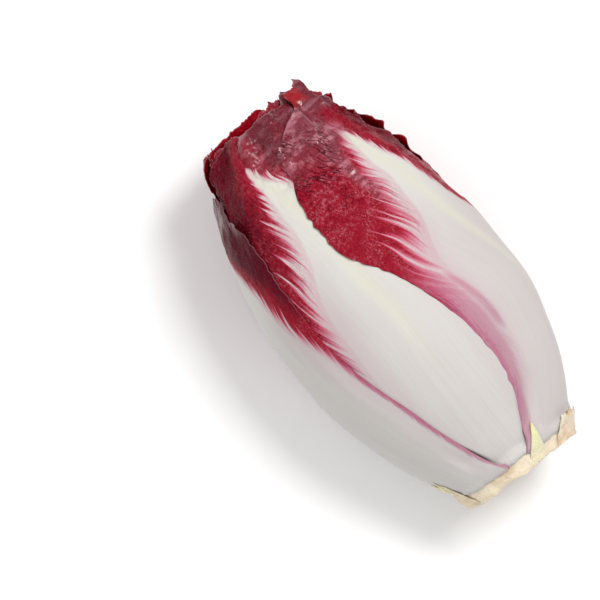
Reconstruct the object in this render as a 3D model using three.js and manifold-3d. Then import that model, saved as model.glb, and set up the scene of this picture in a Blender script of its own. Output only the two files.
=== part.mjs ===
// A head of red Belgian endive (chicory) lying on its side.
//
// The head is a short stem with a cut butt, a tight heart, and leaves that clasp them one over
// the other like a closed bud. Every leaf is its own shell: a broad fleshy midrib that thins to
// a crisp margin. The leaves are laid up from the heart outwards. Each one follows its own share
// of the head's barrel profile, and where it meets the leaves beneath it, it lies on them with a
// small gap.
//
// Head frame, millimetres: +X runs from the cut face of the butt to the leaf tips, and an angle
// of 0 faces +Z. Angles grow from +Z towards -Y. The lying group then turns the head to its
// resting pose, with +Z up and the origin on the table under the middle of the head.

import * as THREE from "three";
import { mergeVertices } from "three/addons/utils/BufferGeometryUtils.js";
import Module from "manifold-3d";

const wasm = await Module();
wasm.setup();

// ---- Driving dimensions, in millimetres and degrees ----

const HEAD_LENGTH = 142;
const BELLY_RADIUS = 39.8;

// The barrel profile: [share of the length, share of the belly radius].
const BARREL = [
  [0, 0.5],
  [0.05, 0.59],
  [0.12, 0.7],
  [0.24, 0.865],
  [0.4, 0.985],
  [0.52, 0.995],
  [0.66, 0.94],
  [0.78, 0.83],
  [0.88, 0.69],
  [0.95, 0.59],
  [1, 0.5],
];

const BUTT_RADIUS = 20;
const BUTT_HEIGHT = 4;
const NECK_RADIUS = 15;
const CORE_LENGTH = 48;

// The heart: the tight bud of the smallest leaves, as [place along the head, radius].
const HEART = [[53, 0], [55, 2.4], [62, 4.4], [74, 5.4], [88, 5], [98, 3.4], [104, 1.2], [105, 0]];

const GAP = 0.5; // air between two leaves
const MARGIN_THICKNESS = 1;
const RIB_THICKNESS = 5.6; // of an outer leaf, just above its base
const BASE_SHARE = 0.45; // how thick the rib starts out at the very base, as a share
const SQUEEZE = 0.55; // the least share of its thickness that a leaf can be squeezed to
const RIB_SHARE = 0.5; // half-width of the rib as a share of the leaf's

const GOLDEN_ANGLE = 137.5;
const INNER_LEAVES = 17;
const LIE_PITCH = 7; // the butt hangs lower than the tips
const LIE_ROLL = 7; // towards the leaf that the head lies on
const FLAT_DEPTH = 1.4; // how far the leaf underneath is pressed flat

// The five leaves that show all round, outermost first. Each edge and centre line is a list of
// [distance along the head, angle]. inset is how far the leaf lies under the barrel profile.
const OUTER_LEAVES = [
  {
    name: "leaf_01",
    base: 4.5,
    tip: 128,
    inset: 0.2,
    centre: [[4, -84], [70, -92], [128, -88]],
    left: [[4, -150], [60, -146], [110, -140], [128, -112]],
    right: [[4, -10], [14, -21], [36, -30], [58, -38], [80, -43], [100, -45], [118, -47], [128, -56]],
  },
  {
    name: "leaf_02",
    base: 4.5,
    tip: 139,
    inset: 0.5,
    centre: [[4, 68], [60, 64], [90, 46], [118, 40], [126, 44], [134, 52], [139, 60]],
    left: [[4, 8], [14, 20], [26, 24], [41, 23], [58, 17], [71, 8], [83, -2], [94, -8], [106, -9], [120, -5], [127, 5], [133, 26], [139, 38]],
    right: [[4, 122], [55, 110], [70, 98], [80, 85], [92, 73], [116, 73], [127, 68], [139, 76]],
  },
  {
    name: "leaf_03",
    base: 4.5,
    tip: 137,
    inset: 0.9,
    centre: [[4, 198], [70, 194], [137, 178]],
    left: [[4, 140], [60, 136], [84, 112], [104, 92], [126, 94], [137, 118]],
    right: [[4, 262], [60, 250], [105, 246], [118, 254], [128, 264], [137, 274]],
  },
  {
    name: "leaf_04",
    base: 5,
    tip: 141,
    inset: 1.4,
    centre: [[6, 2], [75, -1], [108, -11], [126, -19], [141, -25]],
    left: [[6, -30], [40, -52], [90, -66], [120, -78], [141, -80]],
    right: [[6, 30], [40, 44], [90, 38], [120, 38], [132, 45], [141, 48]],
  },
  {
    name: "leaf_05",
    base: 5.4,
    tip: 139,
    inset: 1.9,
    centre: [[7, 134], [70, 124], [139, 110]],
    left: [[7, 96], [50, 72], [110, 58], [139, 74]],
    right: [[7, 170], [50, 178], [110, 170], [139, 152]],
  },
];

// Torn remains of older leaves round the butt. tipShare is the width at the tip as a share.
const STUBS = [
  { name: "leaf_stub_1", angle: 19, halfWidth: 9, length: 12, tipShare: 0.12 },
  { name: "leaf_stub_2", angle: -75, halfWidth: 20, length: 11, tipShare: 0.6 },
  { name: "leaf_stub_3", angle: 66, halfWidth: 25, length: 7, tipShare: 0.75 },
  { name: "leaf_stub_4", angle: 187, halfWidth: 22, length: 7, tipShare: 0.6 },
];

// ---- Small helpers ----

const radians = THREE.MathUtils.degToRad;
const clamp = THREE.MathUtils.clamp;
const smoothstep = THREE.MathUtils.smoothstep;

// A smooth function of x through a list of points, without overshoot (monotone cubic).
function curveThrough(points) {
  const last = points.length - 1;
  const slope = points.slice(1).map(([x, y], i) => (y - points[i][1]) / (x - points[i][0]));
  const tangent = points.map((_, i) => {
    if (i === 0) return slope[0];
    if (i === last) return slope[last - 1];
    const [before, after] = [slope[i - 1], slope[i]];
    return before * after <= 0 ? 0 : (2 * before * after) / (before + after);
  });
  return (x) => {
    const at = clamp(x, points[0][0], points[last][0]);
    let i = 0;
    while (i < last - 1 && at > points[i + 1][0]) i++;
    const [[x0, y0], [x1, y1]] = [points[i], points[i + 1]];
    const width = x1 - x0;
    const s = (at - x0) / width;
    return (
      y0 * (1 + 2 * s) * (1 - s) ** 2 +
      tangent[i] * width * s * (1 - s) ** 2 +
      y1 * s * s * (3 - 2 * s) +
      tangent[i + 1] * width * s * s * (s - 1)
    );
  };
}

const barrelShare = curveThrough(BARREL);
const barrel = (x) => BELLY_RADIUS * barrelShare(x / HEAD_LENGTH);
const coreRadius = (x) =>
  x < BUTT_HEIGHT ? BUTT_RADIUS : NECK_RADIUS * Math.sqrt(clamp(1 - (x - BUTT_HEIGHT) / CORE_LENGTH, 0, 1));

const heartCurve = curveThrough(HEART);
const heartRadius = (x) => (x < HEART[0][0] || x > HEART.at(-1)[0] ? 0 : heartCurve(x));

// ---- The lay-up: how far out the leaves reach so far, as a share of the barrel profile ----

const STATION = 2; // mm between the lay-up's rings
const RINGS = Math.ceil(HEAD_LENGTH / STATION) + 1;
const ANGLE_STEP = 3; // degrees between its lines
const LINES = 360 / ANGLE_STEP;
const EASE = 2; // steps of the lay-up's grid
const wrap = (line) => ((line % LINES) + LINES) % LINES;

// Combines each value of the lay-up's grid with those up to reach steps away on either side.
function overWindow(grid, reach, combine, neighbour) {
  const made = new Float64Array(grid.length);
  for (let ring = 0; ring < RINGS; ring++)
    for (let line = 0; line < LINES; line++) {
      const values = [];
      for (let d = -reach; d <= reach; d++) values.push(grid[neighbour(ring, line, d)]);
      made[ring * LINES + line] = combine(values);
    }
  return made;
}

class LayUp {
  constructor() {
    this.share = new Float64Array(RINGS * LINES);
    this.cover((x) => (x < BUTT_HEIGHT ? 0 : Math.max(coreRadius(x), heartRadius(x)) / barrel(x)));
  }

  // Raises every place to what share(x, angle) gives there, where that is higher.
  cover(share) {
    for (let ring = 0; ring < RINGS; ring++)
      for (let line = 0; line < LINES; line++) {
        const at = ring * LINES + line;
        this.share[at] = Math.max(this.share[at], share(ring * STATION, line * ANGLE_STEP));
      }
  }

  // A copy in which each place holds the highest value within reach, so that flat facets
  // between two such places still clear what is under them, and then the mean of those values
  // over a few steps each way, so that the leaf above eases over an edge.
  widened(reachAlong, reachRound, ease) {
    const rings = Math.ceil(reachAlong / STATION) + ease;
    const lines = Math.ceil(reachRound / ANGLE_STEP) + ease;
    const highest = (values) => Math.max(...values);
    const mean = (values) => values.reduce((sum, value) => sum + value) / values.length;
    let made = this.share;
    for (const [reach, combine] of [[[rings, lines], highest], [[ease, ease], mean]]) {
      made = overWindow(made, reach[1], combine, (ring, line, d) => ring * LINES + wrap(line + d));
      made = overWindow(made, reach[0], combine, (ring, line, d) => clamp(ring + d, 0, RINGS - 1) * LINES + line);
    }
    return (x, angle) => {
      const ring = clamp(x / STATION, 0, RINGS - 1.001);
      const line = angle / ANGLE_STEP;
      const [r0, l0] = [Math.floor(ring), Math.floor(line)];
      const [fr, fl] = [ring - r0, line - l0];
      const value = (r, l) => made[r * LINES + wrap(l)];
      return (
        (1 - fr) * ((1 - fl) * value(r0, l0) + fl * value(r0, l0 + 1)) +
        fr * ((1 - fl) * value(r0 + 1, l0) + fl * value(r0 + 1, l0 + 1))
      );
    };
  }
}

// ---- Leaves ----

// Gentle lobes that all the leaves share near the tips, so that they stay nested.
const lobes = (x, angle) =>
  1 + 0.035 * smoothstep(x, 96, HEAD_LENGTH) * Math.sin(radians(5 * angle + 2.2 * x));

function tube(x, angle, radius) {
  const a = radians(angle);
  const r = radius * lobes(x, angle);
  return new THREE.Vector3(x, -r * Math.sin(a), r * Math.cos(a));
}

// A leaf as functions of u, from -1 at its left edge to 1 at its right, and the place x.
function leafShape(spec) {
  const [centre, left, right] = [spec.centre, spec.left, spec.right].map(curveThrough);
  const top = (u) => spec.tip - spec.tipDrop * u * u;
  const bottom = (u) => spec.base + spec.baseRise * Math.abs(u) ** 3;
  return {
    ...spec,
    angle: (u, x) => (u < 0 ? centre(x) + u * (centre(x) - left(x)) : centre(x) + u * (right(x) - centre(x))),
    along: (u, v) => bottom(u) + v * (top(u) - bottom(u)),
    // u at a place, or a value past 1 where the leaf doesn't reach.
    across(x, angle) {
      const off = THREE.MathUtils.euclideanModulo(angle - centre(x) + 180, 360) - 180;
      const u = off / (off < 0 ? centre(x) - left(x) : right(x) - centre(x));
      return x < bottom(u) - STATION || x > top(u) + STATION ? Infinity : u;
    },
    thickness(u, x) {
      const t = clamp((x - spec.base) / (spec.tip - spec.base), 0, 1);
      const swell = BASE_SHARE + (1 - BASE_SHARE) * smoothstep(x, spec.base, spec.base + 22);
      const rib = MARGIN_THICKNESS + (swell * spec.rib - MARGIN_THICKNESS) * (1 - t) ** 1.1;
      return MARGIN_THICKNESS + (rib - MARGIN_THICKNESS) * Math.exp(-((u / RIB_SHARE) ** 2));
    },
  };
}

// Inner and outer radius of a leaf at a place: its back follows its guide, and where there is
// no room for its full thickness it lies squeezed on what is under it.
function leafRadii(leaf, under, u, x, angle) {
  const thickness = leaf.thickness(u, x);
  const inner = Math.max(under(x, angle) * barrel(x) + GAP, leaf.guide(x) - thickness);
  return { inner, outer: Math.max(leaf.guide(x), inner + SQUEEZE * thickness) };
}

// A closed shell between two grids of points, with walls round the rim.
function shellGeometry(columns, rows, innerAt, outerAt) {
  const positions = [];
  const index = [];
  const width = columns + 1;
  const layer = width * (rows + 1);
  for (const at of [innerAt, outerAt])
    for (let j = 0; j <= rows; j++)
      for (let i = 0; i <= columns; i++)
        positions.push(...at((2 * i) / columns - 1, j / rows).toArray());
  const quad = (a, b, c, d) => index.push(a, c, b, a, d, c);
  for (let j = 0; j < rows; j++)
    for (let i = 0; i < columns; i++) {
      const a = j * width + i;
      quad(a, a + 1, a + width + 1, a + width);
      quad(layer + a, layer + a + width, layer + a + width + 1, layer + a + 1);
    }
  const wall = (a, b) => quad(a, a + layer, b + layer, b);
  for (let i = 0; i < columns; i++) {
    wall(i, i + 1);
    wall(rows * width + i + 1, rows * width + i);
  }
  for (let j = 0; j < rows; j++) {
    wall((j + 1) * width, j * width);
    wall(j * width + columns, (j + 1) * width + columns);
  }
  const geometry = new THREE.BufferGeometry();
  geometry.setAttribute("position", new THREE.Float32BufferAttribute(positions, 3));
  geometry.setIndex(index);
  return geometry;
}

// Lays one leaf on the lay-up, and returns its geometry.
function layLeaf(spec, layUp) {
  const leaf = leafShape(spec);
  const reachRound = (Math.max(...spec.right.map((p) => p[1])) - Math.min(...spec.left.map((p) => p[1]))) / spec.columns;
  const reachAlong = (spec.tip - spec.base) / spec.rows;
  const under = layUp.widened(reachAlong, reachRound, spec.ease ?? EASE);
  const side = (which) => (u, v) => {
    const x = leaf.along(u, v);
    const angle = leaf.angle(u, x);
    return tube(x, angle, leafRadii(leaf, under, u, x, angle)[which]);
  };
  const geometry = shellGeometry(spec.columns, spec.rows, side("inner"), side("outer"));
  const edge = 1 + (1.2 * ANGLE_STEP * 2) / reachRound / spec.columns;
  layUp.cover((x, angle) => {
    const u = leaf.across(x, angle);
    if (Math.abs(u) > edge) return 0;
    return leafRadii(leaf, under, clamp(u, -1, 1), x, angle).outer / barrel(x);
  });
  return geometry;
}

// The guide of an inner leaf: it leaves the core at its base and reaches its share of the
// barrel a little further up.
function innerLeafSpec(i) {
  const share = 0.885 - 0.042 * i;
  const base = 8 + 1.9 * i;
  const centre = 124 + GOLDEN_ANGLE * (i + 1);
  const half = 55 + 2 * i;
  const tip = 139 - 1.1 * i;
  return {
    name: "leaf_" + String(OUTER_LEAVES.length + 1 + i).padStart(2, "0"),
    base,
    tip,
    rib: 5.6 - 0.2 * i,
    tipDrop: 7,
    baseRise: 3,
    columns: 8,
    rows: 10,
    centre: [[0, centre], [HEAD_LENGTH, centre - 14]],
    left: [[base, centre - 0.6 * half], [60, centre - half], [tip, centre - 14 - 0.62 * half]],
    right: [[base, centre + 0.6 * half], [60, centre + half], [tip, centre - 14 + 0.62 * half]],
    guide: (x) =>
      THREE.MathUtils.lerp(coreRadius(base) + 3, share * barrel(x), smoothstep(x, base, base + 22)),
  };
}

function outerLeafSpec(spec) {
  return {
    ...spec,
    rib: RIB_THICKNESS,
    tipDrop: 7,
    baseRise: 1.5,
    columns: 14,
    rows: 16,
    guide: (x) => barrel(x) - spec.inset,
  };
}

// A stub is a short leaf outside all the others, with its foot on the butt.
function stubSpec({ name, angle, halfWidth, length, tipShare }) {
  const edge = (side) => [[0, angle + side * halfWidth], [length, angle + side * tipShare * halfWidth]];
  return {
    name,
    base: 0.8,
    tip: length,
    rib: 1.8,
    tipDrop: 0,
    baseRise: 0,
    columns: 6,
    rows: 6,
    ease: 0,
    centre: edge(0),
    left: edge(-1),
    right: edge(1),
    guide: () => 0,
  };
}

// ---- The stem and the heart, turned about the head's axis ----

function turned(profile, segments) {
  return new THREE.LatheGeometry(profile, segments).rotateZ(-Math.PI / 2);
}

function coreGeometry() {
  const cone = [];
  for (let x = BUTT_HEIGHT; x < BUTT_HEIGHT + CORE_LENGTH - 1; x += 6)
    cone.push(new THREE.Vector2(coreRadius(x) - GAP / 2, x));
  const profile = [
    new THREE.Vector2(0, 0.4),
    new THREE.Vector2(BUTT_RADIUS - 2.2, 0),
    new THREE.Vector2(BUTT_RADIUS - 0.6, 0.5),
    new THREE.Vector2(BUTT_RADIUS, 2),
    new THREE.Vector2(BUTT_RADIUS - 0.3, BUTT_HEIGHT - 0.3),
    ...cone,
    new THREE.Vector2(0, BUTT_HEIGHT + CORE_LENGTH - 1),
  ];
  return turned(profile, 24);
}

const heartGeometry = () => turned(HEART.map(([x, radius]) => new THREE.Vector2(radius, x)), 12);

// ---- Materials ----

const WHITE_RIB = new THREE.MeshStandardMaterial({ color: 0xeeeee4, roughness: 0.42, metalness: 0 });
const RED_BLADE = new THREE.MeshStandardMaterial({ color: 0x8e1530, roughness: 0.45, metalness: 0 });
const STEM = new THREE.MeshStandardMaterial({ color: 0xe6d9bd, roughness: 0.7, metalness: 0 });

// ---- Assembly ----

const head = new THREE.Group();
head.rotation.set(radians(-LIE_ROLL), -radians(LIE_PITCH), 0, "YXZ");

function addPiece(name, geometry, material) {
  const mesh = new THREE.Mesh(geometry, material);
  mesh.name = name;
  head.add(mesh);
  return mesh;
}

const layUp = new LayUp();
addPiece("stem_core", coreGeometry(), STEM);
addPiece("heart_bud", heartGeometry(), RED_BLADE);
const innerSpecs = Array.from({ length: INNER_LEAVES }, (_, i) => innerLeafSpec(i));
const outerSpecs = OUTER_LEAVES.map(outerLeafSpec);
for (const spec of [...outerSpecs, ...innerSpecs].reverse())
  addPiece(spec.name, layLeaf(spec, layUp), outerSpecs.includes(spec) ? WHITE_RIB : RED_BLADE);
layUp.cover((x) => (x < BUTT_HEIGHT + STATION ? (BUTT_RADIUS + GAP) / barrel(x) : 0));
for (const stub of STUBS) addPiece(stub.name, layLeaf(stubSpec(stub), layUp), STEM);

// ---- Resting pose: lower the head until the leaf underneath is pressed flat on z = 0 ----

function solidOf(geometry) {
  const bare = geometry.clone();
  bare.deleteAttribute("normal");
  bare.deleteAttribute("uv");
  const merged = mergeVertices(bare, 1e-4);
  return new wasm.Manifold(
    new wasm.Mesh({
      numProp: 3,
      vertProperties: merged.attributes.position.array,
      triVerts: new Uint32Array(merged.index.array),
    }),
  );
}

function geometryOf(solid) {
  const mesh = solid.getMesh();
  const geometry = new THREE.BufferGeometry();
  geometry.setAttribute("position", new THREE.Float32BufferAttribute(mesh.vertProperties, 3));
  geometry.setIndex(new THREE.Uint32BufferAttribute(mesh.triVerts, 1));
  return geometry;
}

const root = new THREE.Group();
root.add(head);
root.updateMatrixWorld(true);
const lowest = new THREE.Box3().setFromObject(head, true).min.z;
head.position.z = -lowest - FLAT_DEPTH;
root.updateMatrixWorld(true);

// The table's block, in the head's own frame, trims what would sink below z = 0.
const TABLE_SIZE = 400;
const table = new THREE.BoxGeometry(TABLE_SIZE, TABLE_SIZE, TABLE_SIZE)
  .translate(0, 0, -TABLE_SIZE / 2)
  .applyMatrix4(head.matrixWorld.clone().invert());
const tableSolid = solidOf(table);
for (const mesh of head.children) {
  const world = new THREE.Box3().setFromObject(mesh, true);
  if (world.min.z < 0) mesh.geometry = geometryOf(solidOf(mesh.geometry).subtract(tableSolid));
}

const box = new THREE.Box3().setFromObject(head, true);
head.position.x = -(box.min.x + box.max.x) / 2;
head.position.y = -(box.min.y + box.max.y) / 2;

export default root;
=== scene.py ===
"""A head of red Belgian endive lying on its side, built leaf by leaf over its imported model.

Lengths inside the shape functions are millimetres and angles are degrees, in the head's own
frame: x runs from the cut butt to the leaf tips, and an angle of 0 faces up at the front leaf
and grows towards -Y. place_in_frame turns that into the model's frame, in metres.
"""

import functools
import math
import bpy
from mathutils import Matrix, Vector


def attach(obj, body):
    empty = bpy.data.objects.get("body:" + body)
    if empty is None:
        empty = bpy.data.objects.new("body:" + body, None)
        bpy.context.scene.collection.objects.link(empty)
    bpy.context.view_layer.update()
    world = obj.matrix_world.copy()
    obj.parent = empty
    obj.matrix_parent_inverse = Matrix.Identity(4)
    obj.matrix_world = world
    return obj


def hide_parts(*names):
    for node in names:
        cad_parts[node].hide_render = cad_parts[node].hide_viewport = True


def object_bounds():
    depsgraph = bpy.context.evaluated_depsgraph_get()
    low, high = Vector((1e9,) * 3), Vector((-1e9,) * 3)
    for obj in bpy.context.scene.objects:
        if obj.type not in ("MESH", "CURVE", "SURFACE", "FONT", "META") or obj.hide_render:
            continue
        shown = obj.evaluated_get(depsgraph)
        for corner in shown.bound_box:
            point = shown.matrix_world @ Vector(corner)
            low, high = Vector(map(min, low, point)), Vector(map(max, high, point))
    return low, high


bl_info = {
    "name": "Red Belgian Endive",
    "version": (1, 0, 0),
    "blender": (4, 5, 0),
    "location": "View3D > Sidebar > Endive",
    "description": "Builds a lying head of red endive with its floor, light and camera",
    "category": "Add Mesh",
}

from dataclasses import dataclass
from types import SimpleNamespace

import bmesh
import bpy
import numpy as np
from bpy.props import FloatProperty, FloatVectorProperty, PointerProperty
from mathutils import Vector

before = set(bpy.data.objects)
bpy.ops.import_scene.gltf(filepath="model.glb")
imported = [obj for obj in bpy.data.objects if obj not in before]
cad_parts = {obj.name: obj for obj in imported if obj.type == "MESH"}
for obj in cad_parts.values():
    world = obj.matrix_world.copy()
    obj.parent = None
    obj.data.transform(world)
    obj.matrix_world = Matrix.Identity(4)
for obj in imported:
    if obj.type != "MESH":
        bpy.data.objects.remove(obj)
CAD_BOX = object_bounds()

# ---- The head's proportions, the same as the model's ----

MM = 0.001
HEAD_LENGTH = 142.0
BELLY_RADIUS = 39.8
BARREL = [
    (0, 0.5), (0.05, 0.59), (0.12, 0.7), (0.24, 0.865), (0.4, 0.985), (0.52, 0.995),
    (0.66, 0.94), (0.78, 0.83), (0.88, 0.69), (0.95, 0.59), (1, 0.5),
]
BUTT_RADIUS = 20.0
BUTT_HEIGHT = 4.0
RING_TOP = 4.6
RING = [(-1, 18.6), (0, 19.6), (1, 20.4), (2.5, 21.1), (RING_TOP, 21.7)]
NECK = [(RING_TOP, 19.2), (6, 17.6), (9, 15.2), (14, 13), (50, 0)]
NECK_RADIUS = 15.0
CORE_LENGTH = 48.0
HEART = [(53, 0), (55, 2.4), (62, 4.4), (74, 5.4), (88, 5), (98, 3.4), (104, 1.2), (105, 0)]
GOLDEN_ANGLE = 137.5
INNER_LEAVES = 17
LIE_PITCH = 7.0
LIE_ROLL = 7.0
BUTT_CENTRE = (-68.489, -0.067, 31.283)

# Seeds of the noises, one for each use, so that no two run alike.
LOBES, CREASES, ACROSS, BEND, ALONG = 11, 12, 14, 15, 16
RAGGED, NICKS, TEETH, EDGE_WAVES, EDGE_TEETH, FOOT_TEETH = range(21, 27)
(
    PUCKERS, FINE_PUCKERS, CURLS, TIP_CURLS, FOLD_BEND, RUFFLES, FINE_RUFFLES, FINE_CURLS,
) = range(31, 39)
STEM_ROUGH, STEM_GRAIN, STEM_EDGE, STEM_TEETH = range(51, 55)
STUB_RAGGED, STUB_NICKS, STUB_SIDES, STUB_CRUMPLE, STUB_CREASES = range(60, 65)


def settings():
    """The strengths of the shapes that the panel sets."""
    return bpy.context.scene.endive_shape


def colours():
    """The colours that the panel sets, by name, each with an opaque fourth value."""
    group = bpy.context.scene.endive_colours
    return {name: (*getattr(group, name), 1.0) for name in EndiveColours.__annotations__}


def remembered(make):
    """Keeps what make returned for the same arguments, shape settings and colours."""
    kept = {}

    @functools.wraps(make)
    def recall(*args):
        shape = (getattr(settings(), name) for name in EndiveShape.__annotations__)
        key = (*args, *shape, *colours().values())
        if key not in kept:
            kept[key] = make(*args)
        return kept[key]

    return recall


# ---- Curves and noise ----


def curve(points):
    """A smooth function through (place, value) points: a cubic in each gap, whose slope at a
    point is the harmonic mean of the straight slopes beside it, so it never overshoots."""
    xs, ys = np.array(points, float).T
    gaps = np.diff(xs)
    slopes = np.diff(ys) / gaps
    before, after = slopes[:-1], slopes[1:]
    same_way = before * after > 0
    inner = np.where(same_way, 2 * before * after / np.where(same_way, before + after, 1), 0)
    tangents = np.concatenate([slopes[:1], inner, slopes[-1:]])

    def value(at):
        at = np.clip(at, xs[0], xs[-1])
        i = np.clip(np.searchsorted(xs, at, side="right") - 1, 0, len(xs) - 2)
        s = (at - xs[i]) / gaps[i]
        return (
            ys[i] * (1 + 2 * s) * (1 - s) ** 2
            + ys[i + 1] * s * s * (3 - 2 * s)
            + gaps[i] * s * (1 - s) * (tangents[i] * (1 - s) - tangents[i + 1] * s)
        )

    return value


def smoothstep(low, high, x):
    """0 below low, 1 above high, and 3t2 - 2t3 between them."""
    t = np.clip((x - low) / (high - low), 0, 1)
    return t * t * (3 - 2 * t)


def fall(low, high, x):
    """1 below low and 0 above high: 1 less the smoothstep."""
    return 1 - smoothstep(low, high, x)


def bell(x, middle, width):
    """e to the power of minus the square of the distance from middle over width."""
    return np.exp(-(((x - middle) / width) ** 2))


def wrapped(angle):
    """The same angle between -180 and 180 degrees."""
    return (angle + 180) % 360 - 180


def noise(p, q, seed, around=64):
    """Smooth noise from -1 to 1: a random value at each pair of whole numbers p and q, with
    smooth steps between them. It repeats every around cells of p and 64 of q."""
    table = np.random.default_rng(seed).uniform(-1, 1, (around, 64))
    p0, q0 = np.floor(p).astype(int), np.floor(q).astype(int)
    fp, fq = smoothstep(0, 1, p - p0), smoothstep(0, 1, q - q0)

    def corner(i, j):
        return table[(p0 + i) % around, (q0 + j) % 64]

    low = corner(0, 0) * (1 - fp) + corner(1, 0) * fp
    high = corner(0, 1) * (1 - fp) + corner(1, 1) * fp
    return low * (1 - fq) + high * fq


barrel_share = curve(BARREL)
heart_curve = curve(HEART)
ring_curve = curve(RING)
neck_curve = curve(NECK)


def barrel(x):
    """Radius of the head's outside at place x."""
    return BELLY_RADIUS * barrel_share(x / HEAD_LENGTH)


def arc(degrees, x):
    """Length round the head's outside at place x of an angle: radians times the radius."""
    return degrees * np.radians(1) * barrel(x)


def core_radius(x):
    """Radius of the stem: a plain butt, then a paraboloid inside the leaves."""
    cone = NECK_RADIUS * np.sqrt(np.clip(1 - (x - BUTT_HEIGHT) / CORE_LENGTH, 0, 1))
    return np.where(x < BUTT_HEIGHT, BUTT_RADIUS, cone)


def stem_radius(x):
    """Radius of the stem as the leaves meet it: a ring that widens to their feet, a neck that
    narrows under them, then the cone inside."""
    inside = np.maximum(core_radius(np.maximum(x, BUTT_HEIGHT)), neck_curve(x))
    return np.where(x < RING_TOP, ring_curve(x), inside)


def heart_radius(x):
    """Radius of the heart bud, 0 off its ends."""
    return np.where((x < HEART[0][0]) | (x > HEART[-1][0]), 0, heart_curve(x))


# Folds and hollows of the crown, then the belly's fuller side: place, angle, half-length,
# half-width in degrees, lean in degrees a millimetre, height.
FOLDS = [
    (117.5, -5, 4.5, 9, 0.0, -3.2),
    (127, 14, 7, 5, 0.8, -2.2),
    (129, 28, 8, 5, 0.6, 1.6),
    (140, 62, 4, 9, 0, 3.0),
    (129, 3, 8, 5, 0.8, 1.4),
    (131, -9, 7, 5, 0.8, -1.3),
    (132, -20, 7, 7, 0.4, 1.2),
    (136, -52, 8, 12, 0.0, -2.4),
    (134, -38, 6, 6, 0.0, 1.3),
    (131, 42, 8, 6, 0.3, -2.0),
    (130, 60, 8, 9, 0.0, 2.0),
    (122, 30, 6, 16, 0.0, -0.8),
    (112, 38, 8, 14, 0.0, 0.6),
    (20, 72, 13, 30, 0.0, 2.5),
    (42, 72, 16, 30, 0.0, 2.1),
]
GROOVE_EDGE = 0.4


def swell(x, angle):
    """How far all leaves at one place swell or sink together, as a share of the radius: broad
    lobes, closer folds towards the tips, grooves along the zeros of two noises, and the
    bell-shaped folds of the table. Being shared, it keeps the leaves nested."""
    lift = 1.1 * smoothstep(86, 125, x) * noise(angle / 40, x / 28, LOBES, around=9)
    lift += 1.3 * smoothstep(110, 138, x) * noise(angle / 15, x / 14, CREASES, around=24)
    bent = noise(angle / 9, x / 7, BEND, around=40)
    across = np.abs(noise(angle / 9 + bent, x / 3.4 + 0.8 * bent, ACROSS, around=40))
    along = np.abs(noise(angle / 4.5 + bent, x / 9, ALONG, around=80))
    grooves = 0.9 * np.minimum(across, GROOVE_EDGE) + 0.7 * np.minimum(along, GROOVE_EDGE)
    lift += smoothstep(106, 119, x) * (grooves - GROOVE_EDGE)
    for x0, angle0, length, width, lean, height in FOLDS:
        off = wrapped(angle - angle0 - lean * (x - x0))
        lift = lift + height * bell(x, x0, length) * bell(off, 0, width)
    return 1 + settings().folds * lift / barrel(x)


def place_in_frame(x, angle, radius):
    """A point of the head at x along its axis and radius from it, in the model's frame, in
    metres: rolled about the axis, pitched tips up, and set on the butt's centre."""
    a, roll, pitch = np.radians(angle), math.radians(LIE_ROLL), math.radians(LIE_PITCH)
    r = radius * swell(x, angle)
    y, z = -r * np.sin(a), r * np.cos(a)
    y, z = (
        y * math.cos(roll) + z * math.sin(roll),
        z * math.cos(roll) - y * math.sin(roll),
    )
    x, z = (
        x * math.cos(pitch) - z * math.sin(pitch),
        z * math.cos(pitch) + x * math.sin(pitch),
    )
    z = np.maximum(z + BUTT_CENTRE[2], 0)
    return np.stack([x + BUTT_CENTRE[0], y + BUTT_CENTRE[1], z], axis=-1) * MM


# ---- The lay-up: how far out the leaves reach so far ----

STATIONS = np.arange(0, 150.1, 0.75)
ANGLES = np.arange(0, 360, 1.5)


def spread(grid, reach, combine, axis):
    """Combines each value of a grid with those up to reach steps away along one axis. Angles
    wrap round and the ends of the head repeat."""
    if axis == 0:
        padded = np.pad(grid, ((reach, reach), (0, 0)), mode="edge")
    else:
        padded = np.pad(grid, ((0, 0), (reach, reach)), mode="wrap")
    size = grid.shape[axis]
    shifted = [np.take(padded, np.arange(d, d + size), axis) for d in range(2 * reach + 1)]
    return combine(shifted, axis=0)


class LayUp:
    """Outer radius of what is laid so far, on a grid of stations and angles."""

    def __init__(self):
        self.x, self.angle = np.meshgrid(STATIONS, ANGLES, indexing="ij")
        self.radius = np.maximum(stem_radius(self.x), heart_radius(self.x))

    def cover(self, radius):
        self.radius = np.maximum(self.radius, radius)

    def eased(self, widen=1, blur=3):
        """A lookup of the highest share of the barrel within reach, averaged, so a leaf above
        drapes over the margins beneath it and still follows the barrel."""
        grid = self.radius / barrel(self.x)
        for reach, combine in ((widen + blur, np.max), (blur, np.mean)):
            grid = spread(spread(grid, reach, combine, 0), reach, combine, 1)

        def lookup(x, angle):
            row = np.clip(x / (STATIONS[1] - STATIONS[0]), 0, len(STATIONS) - 1.001)
            col = angle / (ANGLES[1] - ANGLES[0])
            r0, c0 = np.floor(row).astype(int), np.floor(col).astype(int)
            fr, fc = row - r0, col - c0
            ca, cb = c0 % len(ANGLES), (c0 + 1) % len(ANGLES)
            low = (1 - fc) * grid[r0, ca] + fc * grid[r0, cb]
            high = (1 - fc) * grid[r0 + 1, ca] + fc * grid[r0 + 1, cb]
            return barrel(x) * ((1 - fr) * low + fr * high)

        return lookup


# ---- Leaves ----

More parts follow.
